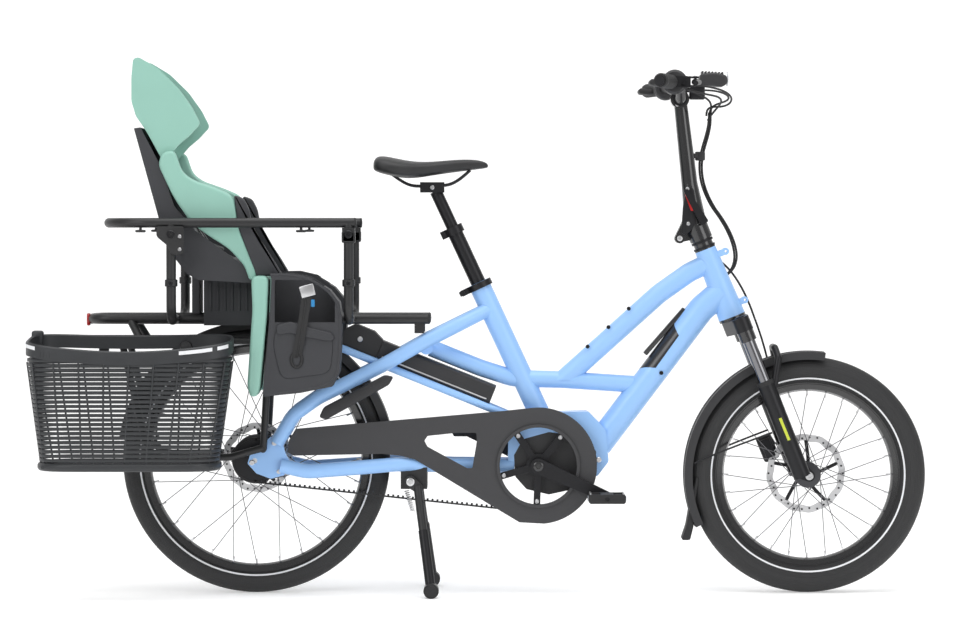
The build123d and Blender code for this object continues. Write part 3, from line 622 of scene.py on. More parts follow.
# %% Green panels
WING = [(-676, 990), (-660, 943), (-637, 925), (-587, 908), (-546, 890), (-536, 818), (-497, 722),
        (-497, 706), (-512, 704), (-522, 735), (-558, 775), (-600, 800), (-640, 830), (-678, 885),
        (-712, 958), (-704, 985)]
BOLSTER = [(-546, 892), (-524, 884), (-512, 860), (-506, 826), (-486, 790), (-456, 744), (-438, 714),
           (-497, 712), (-536, 818)]
CALF = [(-506, 714), (-467, 714), (-471, 625), (-486, 466), (-494, 449), (-508, 449), (-515, 470),
        (-503, 640)]
for sign, side in SIDES:
    y0, y1 = sorted((sign * 150.5, sign * 170))
    wing = slab(f"seat_wing_{side}", rounded(WING, 22), y0, y1, "frame", green_plastic, edge=7, segments=5)
    y0, y1 = sorted((sign * 112, sign * 205))
    calf = slab(f"calf_wall_{side}", rounded(CALF, 16), y0, y1, "frame", green_plastic, edge=8, segments=5)
    if side == "right":
        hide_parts("seat_side_panels")
stamp("seat_bolster", rounded(BOLSTER, 8), 146, 168, "frame", shell_plastic, 5, 4)
print("green panels made")


# %% [markdown]
# The headrest is shaped like the sides of a helmet: two green cheeks joined by a curved back. Each cheek
# is domed, so it is built from a rounded outline whose middle is pushed outwards, and then given its
# thickness.

# %% Headrest
CHEEK = [(-772, 1150), (-768, 1191), (-756, 1195), (-711, 1168), (-668, 1126), (-638, 1084), (-620, 1048),
         (-646, 1020), (-668, 1002), (-688, 978), (-704, 968), (-737, 1028), (-762, 1066), (-772, 1097)]


def headrest():
    bm = bmesh.new()
    for sign in (-1, 1):
        line = rounded(CHEEK, 8, steps=4)
        face = bm.faces.new([bm.verts.new((x * MM, sign * 140 * MM, z * MM)) for x, z in line])
        current = [face]
        for inset, push in ((9, 5.0), (14, 3.0), (18, 1.5)):
            bmesh.ops.inset_region(bm, faces=current, thickness=inset * MM, depth=0, use_even_offset=True)
            current = [f for f in current if f.is_valid]
            for v in {v for f in current for v in f.verts}:
                v.co.y += sign * push * MM
        shell = [f for f in bm.faces if f.calc_center_median().y * sign > 0]
        for f in shell:
            if f.normal.y * sign < 0:
                f.normal_flip()
        bmesh.ops.solidify(bm, geom=shell, thickness=9 * MM)
    return add("headrest_cheeks", bm, "headrest", green_plastic, angle=55)


cheeks = headrest()
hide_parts("headrest")
back = [(-772, 1097), (-772, 1150), (-766, 1192), (-752, 1194), (-757, 1150), (-756, 1092), (-722, 1032),
        (-692, 976), (-704, 968), (-737, 1028), (-764, 1066)]
slab("headrest_back", rounded(back, 8), -138, 138, "headrest", green_plastic, edge=3)
slab("headrest_tongue", rounded([(-736.5, 1010), (-714, 922), (-707, 922), (-722, 985), (-722, 1010)], 2),
     -30, 30, "headrest", shell_plastic, edge=1)
print("headrest made")


# %% [markdown]
# ## Padding
# The seat's pad is foam in a knitted cover, so it is a closed form that swells between its edges.
# Blender's cloth with inner pressure makes that shape: the pad is remeshed evenly, blown up for a few
# frames, and kept.

# %% A cushion blown up by cloth
def puff(name, outline, half, body, material, cap=9.0, y_middle=0.0):
    bm = bmesh.new()
    y = (y_middle - half) * MM
    face = bm.faces.new([bm.verts.new((x * MM, y, z * MM)) for x, z in rounded(outline, 6)])
    push(bm, face, (0, 2 * half, 0))
    piece = add(name, bm, body, material, angle=180)
    remesh = piece.modifiers.new("even", "REMESH")
    remesh.mode = "VOXEL"
    remesh.voxel_size = 5.5 * MM
    held = bpy.context.evaluated_depsgraph_get()
    mesh = bpy.data.meshes.new_from_object(piece.evaluated_get(held))
    piece.modifiers.clear()
    piece.data = mesh
    rest = [v.co.copy() for v in mesh.vertices]
    cloth = piece.modifiers.new("cloth", "CLOTH")
    cloth.settings.use_pressure = True
    cloth.settings.uniform_pressure_force = 4
    cloth.settings.effector_weights.gravity = 0
    cloth.settings.quality = 5
    scene = bpy.context.scene
    for frame_number in range(1, 16):
        scene.frame_set(frame_number)
    blown = bpy.data.meshes.new_from_object(piece.evaluated_get(bpy.context.evaluated_depsgraph_get()))
    piece.modifiers.clear()
    piece.data = blown
    for vertex, start in zip(blown.vertices, rest):
        step = vertex.co - start
        if step.length > cap * MM:
            vertex.co = start + step.normalized() * cap * MM
    scene.frame_set(1)
    bm = bmesh.new()
    bm.from_mesh(piece.data)
    bmesh.ops.smooth_vert(bm, verts=bm.verts, factor=0.5, use_axis_x=True, use_axis_y=True, use_axis_z=True)
    bm.to_mesh(piece.data)
    bm.free()
    for face in piece.data.polygons:
        face.use_smooth = True
    piece.data.materials.clear()
    piece.data.materials.append(material)
    return piece


PAD = [(-700, 934), (-682, 856), (-653, 778), (-628, 748), (-606, 733), (-486, 722), (-474, 734),
       (-600, 748), (-626, 770), (-660, 850), (-684, 934)]
pad = puff("seat_pad", PAD, 126, "frame", pad_cloth)
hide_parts("seat_cushion")
CHEEK_PAD = [(-742, 1080), (-742, 1150), (-700, 1150), (-660, 1100), (-650, 1060), (-690, 1010),
             (-712, 1040)]
for sign, side in SIDES:
    puff(f"headrest_pad_{side}", CHEEK_PAD, 5, "headrest", pad_cloth, cap=4.0, y_middle=sign * 128)
print("pads made")


# %% Harness, shell edge and leg guard fittings
def strap(name, points, width):
    """Flat webbing: its width lies across the bicycle."""
    bm = bmesh.new()
    ribbon(bm, [[(x, y + s * width / 2, z) for s in (-1, 1)] for x, y, z in points])
    bmesh.ops.recalc_face_normals(bm, faces=bm.faces)
    bmesh.ops.solidify(bm, geom=bm.faces[:], thickness=2.0 * MM)
    return add(name, bm, "frame", webbing, angle=60)


for sign, side in SIDES:
    line = [(-676, sign * 46, 938), (-664, sign * 44, 895), (-648, sign * 42, 850), (-632, sign * 38, 812),
            (-612, sign * 30, 780), (-598, sign * 18, 768)]
    belt = strap(f"shoulder_strap_{side}", line, 26)
    if side == "right":
        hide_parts("seat_harness")
strap("crotch_strap", [(-596, 0, 768), (-570, 0, 759), (-545, 0, 748)], 28)
block("harness_buckle", (-612, -26, 762), (-580, 26, 780), "frame", black_plastic, edge=5, turn=20)
for sign, side in SIDES:
    y = sign * 209
    line = [(-382, y, 688), (-386, y + sign * 3, 650), (-392, y + sign * 6, 610), (-399, y + sign * 5, 570),
            (-406, y, 535)]
    wire(f"foot_strap_{side}", line, 1.6, "frame", rubber, flat=0.5)
    bm = bmesh.new()
    ribbon(bm, [[(x + s * 11, yy, z + s * 3) for s in (-1, 1)] for x, yy, z in line])
    bmesh.ops.solidify(bm, geom=bm.faces[:], thickness=2.4 * MM)
    add(f"foot_band_{side}", bm, "frame", rubber)
    y0, y1 = sorted((sign * 206, sign * 213))
    block(f"foot_buckle_{side}", (-398, y0, 668), (-366, y1, 694), "frame", silver, edge=2, turn=-15)
    block(f"foot_tab_{side}", (-374, y0, 646), (-366, y1, 662), "frame", tab_blue, edge=1.5)
    ring = [(-406 + 12 * cos(2 * pi * i / 16), sign * 208,
             530 + 17 * sin(2 * pi * i / 16)) for i in range(16)]
    wire(f"foot_ring_{side}", ring, 3.5, "frame", rubber, closed=True)
    lip = [(-464, 716), (-416, 717), (-377, 708), (-336, 681), (-315, 654), (-309.5, 623), (-312, 554),
           (-315, 504), (-331, 474), (-398, 460), (-476, 452)]
    wire(f"leg_guard_lip_{side}", [(x, sign * 203, z) for x, z in lip], 3.4, "frame", shell_plastic)
cup = rounded([(-450, 606), (-420, 614), (-376, 600), (-330, 590), (-322, 578), (-330, 570), (-372, 576),
               (-420, 588), (-450, 584)], 6)
recess = rounded([(-452, 600), (-330, 592), (-326, 560), (-332, 500), (-440, 486), (-458, 560)], 22)
stamp("foot_cup", cup, 203, 211, "frame", shell_plastic, 3.5, 4)
stamp("leg_guard_panel", recess, 203.5, 207, "frame", shell_plastic, 2.5)
print("harness and leg guard fittings made")


# %% [markdown]
# ## The saddle
# A saddle is a padded cover over a flexible base. Its cross-section changes from a wide flat tail to a
# narrow round nose, so closed sections at stations along it are bridged, and one subdivision smooths
# them.

# %% Saddle and its rails
def saddle():
    stations = [(-243, 60, 966, 950), (-236, 78, 981, 944), (-212, 90, 980, 938), (-178, 86, 972, 930),
                (-146, 64, 967, 930), (-112, 43, 967, 936), (-70, 30, 971, 942), (-30, 23, 973, 947),
                (0, 19, 970, 951), (15, 12, 962, 953)]
    bm = bmesh.new()
    loops = []
    for x, half, top, bottom in stations:
        ring = []
        for i in range(16):
            a = 2 * pi * i / 16
            y = half * (abs(cos(a)) ** 0.7) * (1 if cos(a) > 0 else -1)
            up = sin(a)
            z = (top + bottom) / 2 + (top - bottom) / 2 * (abs(up) ** 0.6) * (1 if up > 0 else -1)
            z -= 5 * (abs(y) / 90) ** 2
            ring.append(bm.verts.new((x * MM, y * MM, z * MM)))
        loops.append([bm.edges.new((ring[i], ring[(i + 1) % 16])) for i in range(16)])
    for a, b in zip(loops, loops[1:]):
        bmesh.ops.bridge_loops(bm, edges=a + b)
    bmesh.ops.holes_fill(bm, edges=loops[0])
    bmesh.ops.holes_fill(bm, edges=loops[-1])
    piece = add("saddle_cover", bm, "seatpost_upper", saddle_skin, angle=180)
    smooth = piece.modifiers.new("smooth", "SUBSURF")
    smooth.levels = 2
    smooth.render_levels = 2
    return piece


cover = saddle()
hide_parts("saddle")
for sign, side in SIDES:
    rail = [(-208, sign * 24, 944), (-190, sign * 24, 930), (-165, sign * 22, 913), (-140, sign * 22, 912),
            (-80, sign * 22, 912), (-56, sign * 20, 920), (-26, sign * 12, 948)]
    wire(f"saddle_rail_{side}", rail, 3.5, "seatpost_upper", black_metal)
    bolt(f"saddle_bolt_{side}", (-111, sign * 29.5, 909), 5, (0, sign, 0), "seatpost_upper", proud=3)
print("saddle made")

# %% [markdown]
# ## Fork, stem and bar
# The steering parts lean back by 21.6 degrees, so their points are written along and across the steering
# axis, and one function turns them into places on the bicycle.

# %% The leaning frame
def steer(along, across, y=0.0):
    """A point by its height along the steering axis and its distance in front of it."""
    return (HEAD[0] + across * cos(LEAN) - along * sin(LEAN), y,
            HEAD[1] + across * sin(LEAN) + along * cos(LEAN))


AXIS = (-sin(LEAN), 0, cos(LEAN))
SLEEVES = (("dust_seal", -168, -158, 19.8, 14.3, "fork_slider", rubber),
           ("upper_sleeve", -62, -36, 18.9, 14.02, "steerer", gloss_black))
for sign, side in SIDES:
    y = sign * 64
    for label, h0, h1, outer, inner, body, material in SLEEVES:
        tall = h1 - h0
        profile = [(outer, 0.5), (outer, tall - 0.5), (outer - 1, tall), (inner, tall), (inner, 0),
                   (outer - 1, 0), (outer, 0.5)]
        lathe(f"fork_{label}_{side}", profile, steer(h0, 12, y), AXIS, body, material, steps=48)
    bolt(f"crown_cap_{side}", steer(-6.3, 12, y), 11, AXIS, "steerer", black_metal, proud=3)
    low = steer(-300, 13, sign * 83.4)
    high = steer(-245, 13, sign * 83.4)
    slab(f"fork_lime_stripe_{side}",
         [(low[0] - 3, low[2]), (low[0] + 3, low[2] + 2), (high[0] + 3, high[2]),
          (high[0] - 3, high[2] - 2)], sign * 83, sign * 83.9, "fork_slider", lime, edge=0.2)
    bolt(f"front_axle_nut_{side}", (731, sign * 60, 265), 9, (0, sign, 0), "fork_slider", silver, proud=6)
flap = rounded([(480, 262), (486, 258), (478, 205), (475, 152), (467, 119), (448, 119), (459, 152),
                (468, 205)], 5)
slab("mudflap", flap, -31, 31, "fork_slider", rubber, edge=2)
for sign, side in SIDES:
    stay = [(476, sign * 37, 292), (520, sign * 44, 314), (600, sign * 54, 344), (648, sign * 60, 362)]
    wire(f"front_mudguard_stay_{side}", stay, 2.2, "fork_slider", black_metal)
lip_line = [(731 + 277.5 * cos(radians(a)), 0, 265 + 277.5 * sin(radians(a))) for a in range(82, 206, 3)]
wire("front_mudguard_spine", lip_line, 1.2, "fork_slider", black_plastic)
block("front_caliper", (628, 44, 292), (664, 64, 352), "fork_slider", black_metal, edge=5, turn=-22)
block("front_caliper_body", (634, 27, 300), (656, 32.4, 344), "fork_slider", black_metal, edge=2, turn=-22)
for label, x, z in (("upper", 644, 338), ("lower", 652, 308)):
    bolt(f"front_caliper_bolt_{label}", (x, 64, z), 4.5, (0, 1, 0), "fork_slider")
print("fork dressed")


# %% Stem hinge and latch
for i, h in enumerate((164.5, 178.5, 186.5)):
    ring = [(23, 0), (25.2, 0.6), (25.2, 5.4), (23, 6), (23, 0)]
    lathe(f"stem_spacer_{i}", ring, steer(h, 0), AXIS, "steerer" if i else "frame", black_metal, steps=48)
bolt("fold_pin_head", (*steer(206.5, -45.1, -18.5),), 6, (0, -1, 0), "bars", silver, proud=2.5)
cheek_line = rounded([(446, 806), (458, 802), (478, 826), (480, 872), (474, 908), (458, 914), (450, 868)], 8)
slab("stem_hinge_cheek", cheek_line, -27.5, -19, "bars", black_metal, edge=2.5)
insert = rounded([(453, 896), (464, 894), (478, 858), (468, 856)], 2.5)
slab("stem_lock_insert", insert, -29.5, -27, "bars", red_metal, edge=0.8)
for i, (x, z) in enumerate(((460, 906), (462, 828))):
    bolt(f"stem_bolt_{i}", (x, -27.5, z), 4.0, (0, -1, 0), "bars", proud=2)
for label, x, z in (("upper", 447, 1121), ("lower", 437, 1094)):
    bolt(f"bar_clamp_bolt_{label}", (x, -24.5, z), 4, (0, -1, 0), "bars", proud=2)
print("stem dressed")

# %% [markdown]
# ## Grips and controls
# A grip is a turned rubber sleeve with rings moulded in it and a wing for the palm. Seen from the side,
# only its end plug and wing show, so those get the care.

# %% Grips, controls and lamp
for sign, side in SIDES:
    start = Vector((412.0, sign * 226, 1137.6))
    end = Vector((384.6, sign * 333, 1137.0))
    along = (end - start).normalized()
    reach = (end - start).length
    profile = [(11.3, 0), (16, 1)]
    for k in range(9):
        profile += [(16, 6 + 10 * k), (15.2, 8 + 10 * k), (15.2, 10 + 10 * k), (16, 12 + 10 * k)]
    profile += [(16, reach - 6), (14, reach - 1), (11.3, reach - 1), (11.3, 0)]
    grip = lathe(f"grip_{side}", profile, start, along, "bars", rubber, steps=48)
    if side == "right":
        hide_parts("grips")
    lathe(f"bar_end_{side}", [(0.01, 0), (10, 0), (10, 3), (7, 3.6), (0.01, 3.6)], end - along * 3.0, along,
          "bars", black_metal, steps=32)
    y0, y1 = sorted((sign * 236, sign * 328))
    block(f"palm_wing_{side}", (362, y0, 1126), (396, y1, 1139), "bars", rubber, edge=6, turn=8)
    lathe(f"control_body_{side}", [(11.2, 0), (24, 1), (27, 6), (27, 24), (22, 30), (11.2, 30), (11.2, 0)],
          (424, sign * 192, 1138), (-0.1, sign, 0), "bars", black_plastic, steps=40)
    block(f"lever_mount_{side}", (430, min(sign * 196, sign * 224), 1124),
          (452, max(sign * 196, sign * 224), 1151), "bars", black_metal, edge=5)
    bolt(f"lever_pivot_{side}", (467, sign * 208, 1150), 4, (0, 0, 1), "bars", proud=2)
shade = rounded([(486, 1138), (540, 1134), (551, 1144), (547, 1160), (520, 1166), (488, 1163)], 7)
lamp_body = slab("lamp_body", shade, -33, 33, "bars", black_plastic, edge=5, segments=4)
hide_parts("front_light")
for i in range(7):
    x = 492 + 7.4 * i
    block(f"lamp_fin_{i}", (x, -27, 1159), (x + 3.6, 27, 1169.5 - 0.4 * i), "bars", black_plastic, edge=1.2)
block("lamp_bracket", (465, -8, 1106), (500, 8, 1139), "bars", black_metal, edge=4)
lathe("lamp_lens", [(0.01, 0), (17, 0), (17, 2), (12, 4), (0.01, 5)], (548.5, 0, 1152), (1, 0, 0), "bars",
      lens, steps=48)
block("display", (404, -34, 1128), (456, 34, 1139), "bars", gloss_black, edge=3, turn=14)
lathe("bell", [(0.01, 0), (15, 0), (17, 3), (15, 11), (8, 15), (0.01, 16)], (436, 96, 1136), (0, 0, 1),
      "bars", black_metal, steps=40)
print("controls made")

# %% [markdown]
# ## Hoses and cables
# Hoses leave the levers, curve forward and gather in a bundle that enters the head tube. They bend when
# the bar turns or folds. The bundle is in two pieces: the upper one rides with the bar, and the lower one is
# unparented and stays where it is made.

# %% Hose runs
def bending_wire(name, points, radius, second):
    """A hose across a joint: made on the given body, then unparented, with its place baked into the mesh."""
    hose = wire(name, points, radius, second, rubber)
    hose.parent = None
    del hose["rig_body"]
    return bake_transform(hose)
for i, (dx, dy) in enumerate(((0, 0), (5.5, 1), (1, 6), (6, 7))):
    upper = [(511 + dx / 2, 26 + dy, 1078), (512 + dx, 25 + dy, 1048), (494 + dx, 24 + dy, 1000),
             (485 + dx, 24 + dy, 945), (500 + dx, 24 + dy, 894), (520 + dx, 25 + dy, 862)]
    lower = [(520 + dx, 25 + dy, 862), (546 + dx, 26 + dy, 828), (570 + dx, 25 + dy, 776),
             (569 + dx, 20 + dy, 736), (556 + dx / 2, 12 + dy / 2, 716), (538, 6 + dy / 2, 706)]
    radius = 2.6 if i < 2 else 2.0
    wire(f"hose_upper_{i}", upper, radius, "bars", rubber)
    low = bending_wire(f"hose_lower_{i}", lower, radius, "frame")
    if i == 0:
        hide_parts("front_hoses")
block("hose_clip", (480, 16, 970), (502, 40, 990), "bars", black_plastic, edge=3)
block("hose_clip_arm", (462, 14, 975), (486, 24, 986), "bars", black_plastic, edge=2)
loops = {"brake_cable_right": [(470, -206, 1131), (505, -190, 1128), (548, -140, 1118), (560, -60, 1098),
                               (536, 0, 1086), (504, 25, 1094), (505, 25, 1070)],
         "brake_cable_left": [(470, 206, 1131), (505, 190, 1136), (552, 140, 1130), (565, 80, 1110),
                              (540, 40, 1100), (512, 31, 1092), (512, 31, 1070)],
         "shift_cable": [(436, -214, 1126), (480, -190, 1112), (528, -120, 1112), (538, -40, 1096),
                         (520, 20, 1080), (508, 28, 1060)],
         "display_cable": [(450, -30, 1130), (480, -30, 1118), (510, -10, 1110), (520, 20, 1090),
                           (510, 30, 1060)]}
for name, line in loops.items():
    wire(name, line, 2.3, "bars", rubber)
wire("front_brake_hose", [steer(122, 24, 24), steer(90, 44, 42), steer(40, 52, 50), steer(-20, 50, 62)],
     2.4, "steerer", rubber)
bend = [steer(-20, 50, 62), steer(-50, 50, 70), steer(-90, 48, 78), steer(-130, 43, 83),
        steer(-170, 38, 86), steer(-200, 36, 87)]
bending_wire("front_brake_hose_bend", bend, 2.4, "fork_slider")
wire("front_brake_hose_low",
     [steer(-200, 36, 87), steer(-230, 34, 87), steer(-290, 28, 86), steer(-330, -4, 78), (650, 66, 344)],
     2.4, "fork_slider", rubber)
print("hoses and cables made")


# %% [markdown]
# ## Frame details, drive and stand
# Small fittings tell the size of a machine. Bolts sit where the real frame has threads, the belt gets its
# teeth, the guard a raised rim, and the battery its bright edge.

# %% Frame bolts, decal and battery edge
for i, (x, y, z) in enumerate(((237, -20, 553), (283.7, -20, 596.5), (329, -20, 638), (402, -28.5, 494))):
    bolt(f"frame_boss_{i}", (x, y, z), 4.5, (0, -1, 0), "frame", black_metal, proud=3.5)
bar_line = rounded([(370, 532), (459, 634), (451, 641), (362, 539)], 3)
slab("accessory_bar", bar_line, -9, 9, "frame", decal, edge=2)
TUBE_FOOT = Vector((262, 0, 331))
TUBE_RUN = Vector((231, 0, 306)).normalized()
TUBE_UP = Vector((-TUBE_RUN.z, 0, TUBE_RUN.x))


def wrap(name, corners, radius, side, material):
    """A printed patch on a round tube. Its corners are (distance along, degrees round from the side)."""
    bm = bmesh.new()
    bmesh.ops.create_grid(bm, x_segments=20, y_segments=20, size=0.5)
    for v in bm.verts:
        u, w = v.co.x + 0.5, v.co.y + 0.5
        low = [corners[0][k] * (1 - u) + corners[1][k] * u for k in (0, 1)]
        high = [corners[3][k] * (1 - u) + corners[2][k] * u for k in (0, 1)]
        along, angle = [low[k] * (1 - w) + high[k] * w for k in (0, 1)]
        out = Vector((0, side * cos(radians(angle)), 0)) + TUBE_UP * sin(radians(angle))
        v.co = (TUBE_FOOT + TUBE_RUN * along + out * radius) * MM
    bmesh.ops.solidify(bm, geom=bm.faces[:], thickness=0.2 * MM)
    return add(name, bm, "frame", material)


for sign, side in SIDES:
    wrap(f"down_tube_decal_{side}", [(216, 7), (305, 11), (322, 82), (192, 82)], 30.25, sign, decal)


def in_battery(x, z):
    lean = radians(21.9)
    return -89 + x * cos(lean) + z * sin(lean), 489.7 - x * sin(lean) + z * cos(lean)


FRAME_BOLTS = (("dropout_bolt_upper", -462, 77.5, 340, 6), ("dropout_bolt_rear", -512, 77.5, 296, 6),
               ("dropout_bolt_lower", -452, 77.5, 276, 5), ("seat_rail_bolt", -559, 74, 616, 6),
               ("motor_bolt_front", 262, 36, 300, 6), ("motor_bolt_rear", 80, 36, 384, 6))
for sign, side in SIDES:
    a, b = sorted((sign * 37.6, sign * 38.8))
    edge_line = [in_battery(-140, -14), in_battery(112, -14), in_battery(112, -11), in_battery(-140, -11)]
    slab(f"battery_edge_{side}", edge_line, a, b, "frame", silver, edge=0.3)
    x, z = in_battery(-200, 6)
    bolt(f"battery_lock_bolt_{side}", (x, sign * 34, z), 6, (0, sign, 0), "frame", silver)
    for label, x, y, z, radius in FRAME_BOLTS:
        bolt(f"{label}_{side}", (x, sign * y, z), radius, (0, sign, 0), "frame",
             black_metal if label == "seat_rail_bolt" else silver)
lock = rounded([(-362, 398), (-346, 392), (-206, 470), (-196, 488), (-216, 492), (-352, 420)], 6)
slab("rear_lock_bar", lock, -92, -76, "frame", black_plastic, edge=3)
print("frame fittings made")


# %% Belt teeth, guard rim, crank and pedals
RING_RADIUS, COG_RADIUS, TOOTH_PITCH = 105, 49, 11
CRANK_LENGTH = 165


def belt_teeth():
    bm = bmesh.new()
    span = Vector((CRANK[0] - REAR[0], CRANK[1] - REAR[1]))
    lean = atan2(span.y, span.x)
    open_angle = atan2(RING_RADIUS - COG_RADIUS, span.length)
    for run in (-1, 1):
        turn = lean + run * (pi / 2 + open_angle)
        a = Vector(REAR) + (COG_RADIUS - 1) * Vector((cos(turn), sin(turn)))
        b = Vector(CRANK) + (RING_RADIUS - 1) * Vector((cos(turn), sin(turn)))
        count = int((b - a).length / TOOTH_PITCH)
        for i in range(count):
            p = a + (b - a) * (i + 0.5) / count - 2.4 * Vector((cos(turn), sin(turn)))
            made = bmesh.ops.create_cube(bm, size=1.0)
            bmesh.ops.scale(bm, vec=(4.6 * MM, 10 * MM, 4.0 * MM), verts=made["verts"])
            place = Matrix.Translation((p.x * MM, -50 * MM, p.y * MM))
            matrix = place @ Matrix.Rotation(pi / 2 - turn, 4, "Y")
            bmesh.ops.transform(bm, matrix=matrix, verts=made["verts"])
    return add("belt_teeth", bm, "frame", rubber)


belt_teeth()
lathe("guard_rim", [(86, 0), (93, 0), (93, 2.2), (89, 3.4), (86, 2.6), (86, 0)],
      (CRANK[0], -70.3, CRANK[1]), (0, -1, 0), "frame", guard_plastic, steps=96)
lathe("ring_edge", [(100, 0), (104, 0), (103, 1.5), (92, 1.5), (91, 0), (100, 0)],
      (CRANK[0], -55, CRANK[1]), (0, -1, 0), "crank", black_metal, steps=96)
for i in range(5):
    a = radians(72 * i + 20)
    bolt(f"ring_bolt_{i}", (CRANK[0] + 80 * cos(a), -55, CRANK[1] - 80 * sin(a)), 5, (0, -1, 0), "crank",
         silver)
for sign, side in SIDES:
    bolt(f"crank_bolt_{side}", (CRANK[0], sign * 82, CRANK[1]), 11, (0, sign, 0), "crank", gloss_black,
         proud=4)
for sign, side in SIDES:
    body = f"pedal_{side}"
    a = radians(-24)
    x = CRANK[0] - sign * CRANK_LENGTH * cos(a)
    z = CRANK[1] - sign * CRANK_LENGTH * sin(a)
    for i, dy in enumerate((-30, -15, 0, 15, 30)):
        for k, s in ((0, -1), (1, 1)):
            lathe(f"pedal_pin_{side}_{i}_{k}", [(0.01, 0), (2.2, 0), (2.2, 2.5), (0.01, 2.8)],
                  (x + s * 36, sign * 131 + dy, z + 9.6), (0, 0, 1), body, silver, steps=10)
    y0, y1 = sorted((sign * 112, sign * 150))
    for k, s in ((0, -1), (1, 1)):
        block(f"pedal_reflector_{side}_{k}", (x + s * 41 - 1.5, y0, z - 6), (x + s * 41 + 1.5, y1, z + 6),
              body, lens, edge=1)
print("drive dressed")


# %% Kickstand, rack, hand rail and seat post fittings
for sign, side in SIDES:
    sleeve = [(-130, sign * 99, 146), (-113.5, sign * 139, 26)]
    wire(f"stand_sleeve_{side}", sleeve, 11.5, "kickstand", black_metal, smooth=False)
    y = sign * 162
    lathe(f"stand_foot_{side}", [(0.01, 0), (14, 0), (12, 3), (5, 3.5), (0.01, 2)], (-112, y, 17),
          (0, sign, 0), "kickstand", rubber, steps=32)
    bolt(f"stand_pivot_{side}", (-159, sign * 80, 253), 9, (0, sign, 0), "kickstand", silver)
coil = []
for i in range(97):
    t = i / 96
    coil.append((-168 + 14 * t + 5 * cos(20 * pi * t), -52 + 5 * sin(20 * pi * t), 232 - 46 * t))
wire("stand_spring", coil, 1.0, "kickstand", silver, smooth=False)
for sign, side in SIDES:
    y = sign * 200
    for i, x in enumerate((-681, -292)):
        bolt(f"rail_knob_{side}_{i}", (x, sign * 213, 805), 9, (0, sign, 0), "frame", black_metal, proud=6)
        low, high = sorted((sign * 187, sign * 213))
        block(f"rail_clamp_{side}_{i}", (x - 15, low, 786), (x + 15, high, 812), "frame", powder, edge=4)
        lathe(f"post_collar_{side}_{i}", [(10.8, 0), (14, 1), (14, 15), (10.8, 16), (10.8, 0)], (x, y, 690),
              (0, 0, 1), "frame", powder, steps=40)
        bolt(f"post_bolt_{side}_{i}", (x, sign * 213.5, 698), 5, (0, sign, 0), "frame", black_metal)
    lathe(f"rail_end_cap_{side}", [(0.01, 0), (10.7, 0), (11.4, 2), (10, 5), (0.01, 6)], (-280, y, 830),
          (1, 0, 0), "frame", rubber, steps=32)
    lathe(f"rack_end_cap_{side}", [(0.01, 0), (11.3, 0), (11.9, 2), (10, 5), (0.01, 6)],
          (-120, sign * 62, 616), (1, 0, 0), "frame", rubber, steps=32)
for i in range(7):
    x = -606 + 16 * i
    for sign, side in SIDES:
        y0, y1 = sorted((sign * 84, sign * 87))
        block(f"seat_base_rib_{side}_{i}", (x, y0, 634), (x + 6, y1, 700), "frame", shell_plastic, edge=1)
block("tail_light", (-884, -32, 600), (-876, 32, 628), "frame", red_lens, edge=3)
block("tail_light_bracket", (-880, -26, 604), (-868, 26, 624), "frame", black_plastic, edge=2)
plate = rounded([(-712, 822), (-652, 822), (-652, 762), (-676, 758), (-690, 782), (-712, 800)], 6)
stamp("rail_plate", plate, 212, 216, "frame", powder, 1.5)
for sign, side in SIDES:
    for i, z in enumerate((800, 772)):
        bolt(f"rail_plate_bolt_{side}_{i}", (-661, sign * 216, z), 4, (0, sign, 0), "frame", proud=2.5)
    for i, x in enumerate((-748, -396)):
        knob = [(0.01, 0), (3, 0), (3, 5), (11, 6), (12, 9), (9, 11), (0.01, 11)]
        lathe(f"rail_wing_{side}_{i}", knob, (x, sign * 200, 820), (0, 0, -1), "frame", black_plastic,
              steps=24)
print("stand, rack and rail dressed")


# %% [markdown]
# ## Floor, light and camera
# A pale sweep stands for a studio floor. Three large soft lights keep shadows weak, and a long lens far
# to the bicycle's right side keeps its two sides nearly level.

# %% Studio
LENS_LENGTH = 142
CAMERA = (-0.004, -8.5, 0.83)
AIM = (-0.004, 0, 0.613)
SWEEP_START, SWEEP_RADIUS, SWEEP_TOP, HALF_WIDTH = 2.4, 2, 7, 9


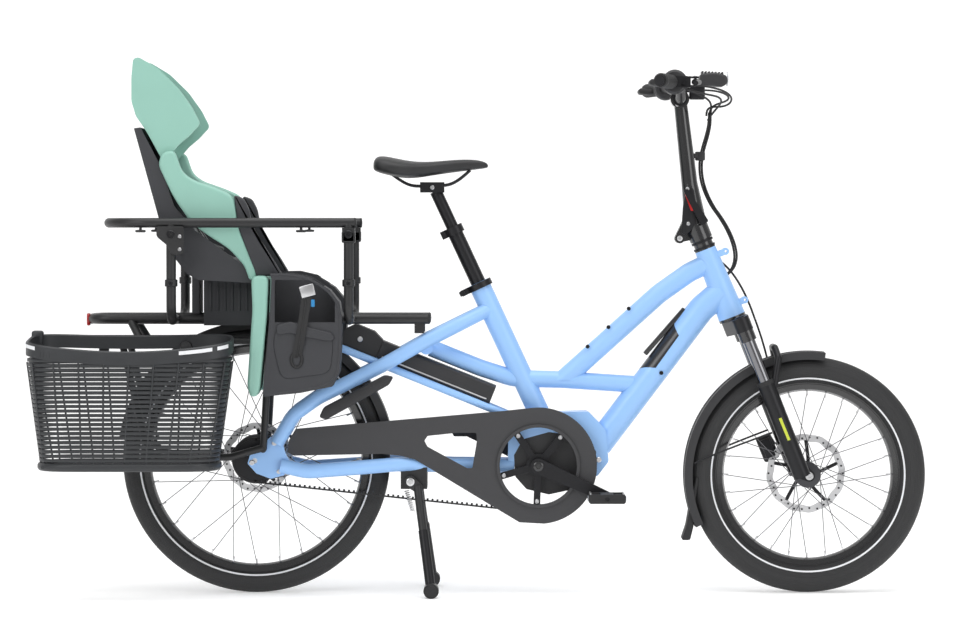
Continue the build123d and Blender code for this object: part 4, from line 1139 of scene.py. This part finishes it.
def studio():
    bm = bmesh.new()
    curve = [k * pi / 16 for k in range(1, 9)]
    line = [(-6, 0), (SWEEP_START, 0)]
    line += [(SWEEP_START + SWEEP_RADIUS * sin(a), SWEEP_RADIUS * (1 - cos(a))) for a in curve]
    line += [(SWEEP_START + SWEEP_RADIUS, SWEEP_TOP)]
    verts = [bm.verts.new((-HALF_WIDTH, y, z)) for y, z in line]
    edges = [bm.edges.new(pair) for pair in zip(verts, verts[1:])]
    made = bmesh.ops.extrude_edge_only(bm, edges=edges)
    moved = [v for v in made["geom"] if isinstance(v, bmesh.types.BMVert)]
    bmesh.ops.translate(bm, vec=(2 * HALF_WIDTH, 0, 0), verts=moved)
    mesh = bpy.data.meshes.new("studio_floor")
    bm.to_mesh(mesh)
    bm.free()
    floor = bpy.data.objects.new("studio_floor", mesh)
    bpy.context.scene.collection.objects.link(floor)
    paper = finish("floor_paper", (0.90, 0.90, 0.90), 0.9, grain=60, bump=0.02, mottle=0.01)
    shader = paper.node_tree.nodes["Principled BSDF"]
    shader.inputs["Emission Color"].default_value = (1, 1, 1, 1)
    shader.inputs["Emission Strength"].default_value = 0.3
    mesh.materials.append(paper)
    for face in mesh.polygons:
        face.use_smooth = True


def lamp(name, place, aim, size, power):
    light = bpy.data.lights.new(name, "AREA")
    light.shape = "RECTANGLE"
    light.size = size[0]
    light.size_y = size[1]
    light.energy = power
    holder = bpy.data.objects.new(name, light)
    holder.location = place
    holder.rotation_euler = (Vector(aim) - Vector(place)).to_track_quat("-Z", "Y").to_euler()
    bpy.context.scene.collection.objects.link(holder)


studio()
lamp("overhead", (0, -0.6, 3.6), (0, 0, 0.4), (4.0, 2.6), 85)
lamp("key", (-3.2, -4.0, 2.6), (0, 0, 0.5), (2.4, 2.4), 62)
lamp("fill", (3.4, -3.6, 1.8), (0, 0, 0.6), (2.4, 2.4), 40)
world = bpy.data.worlds.new("soft_grey")
world.use_nodes = True
world.node_tree.nodes["Background"].inputs["Color"].default_value = (1, 1, 1, 1)
world.node_tree.nodes["Background"].inputs["Strength"].default_value = 0.48
bpy.context.scene.world = world
bpy.context.scene.view_settings.view_transform = "Standard"
camera = bpy.data.objects.new("side_camera", bpy.data.cameras.new("side_camera"))
camera.data.lens = LENS_LENGTH
camera.data.sensor_width = 36
camera.location = CAMERA
camera.rotation_euler = (Vector(AIM) - camera.location).to_track_quat("-Z", "Y").to_euler()
bpy.context.scene.collection.objects.link(camera)
bpy.context.scene.camera = camera
print("studio ready")
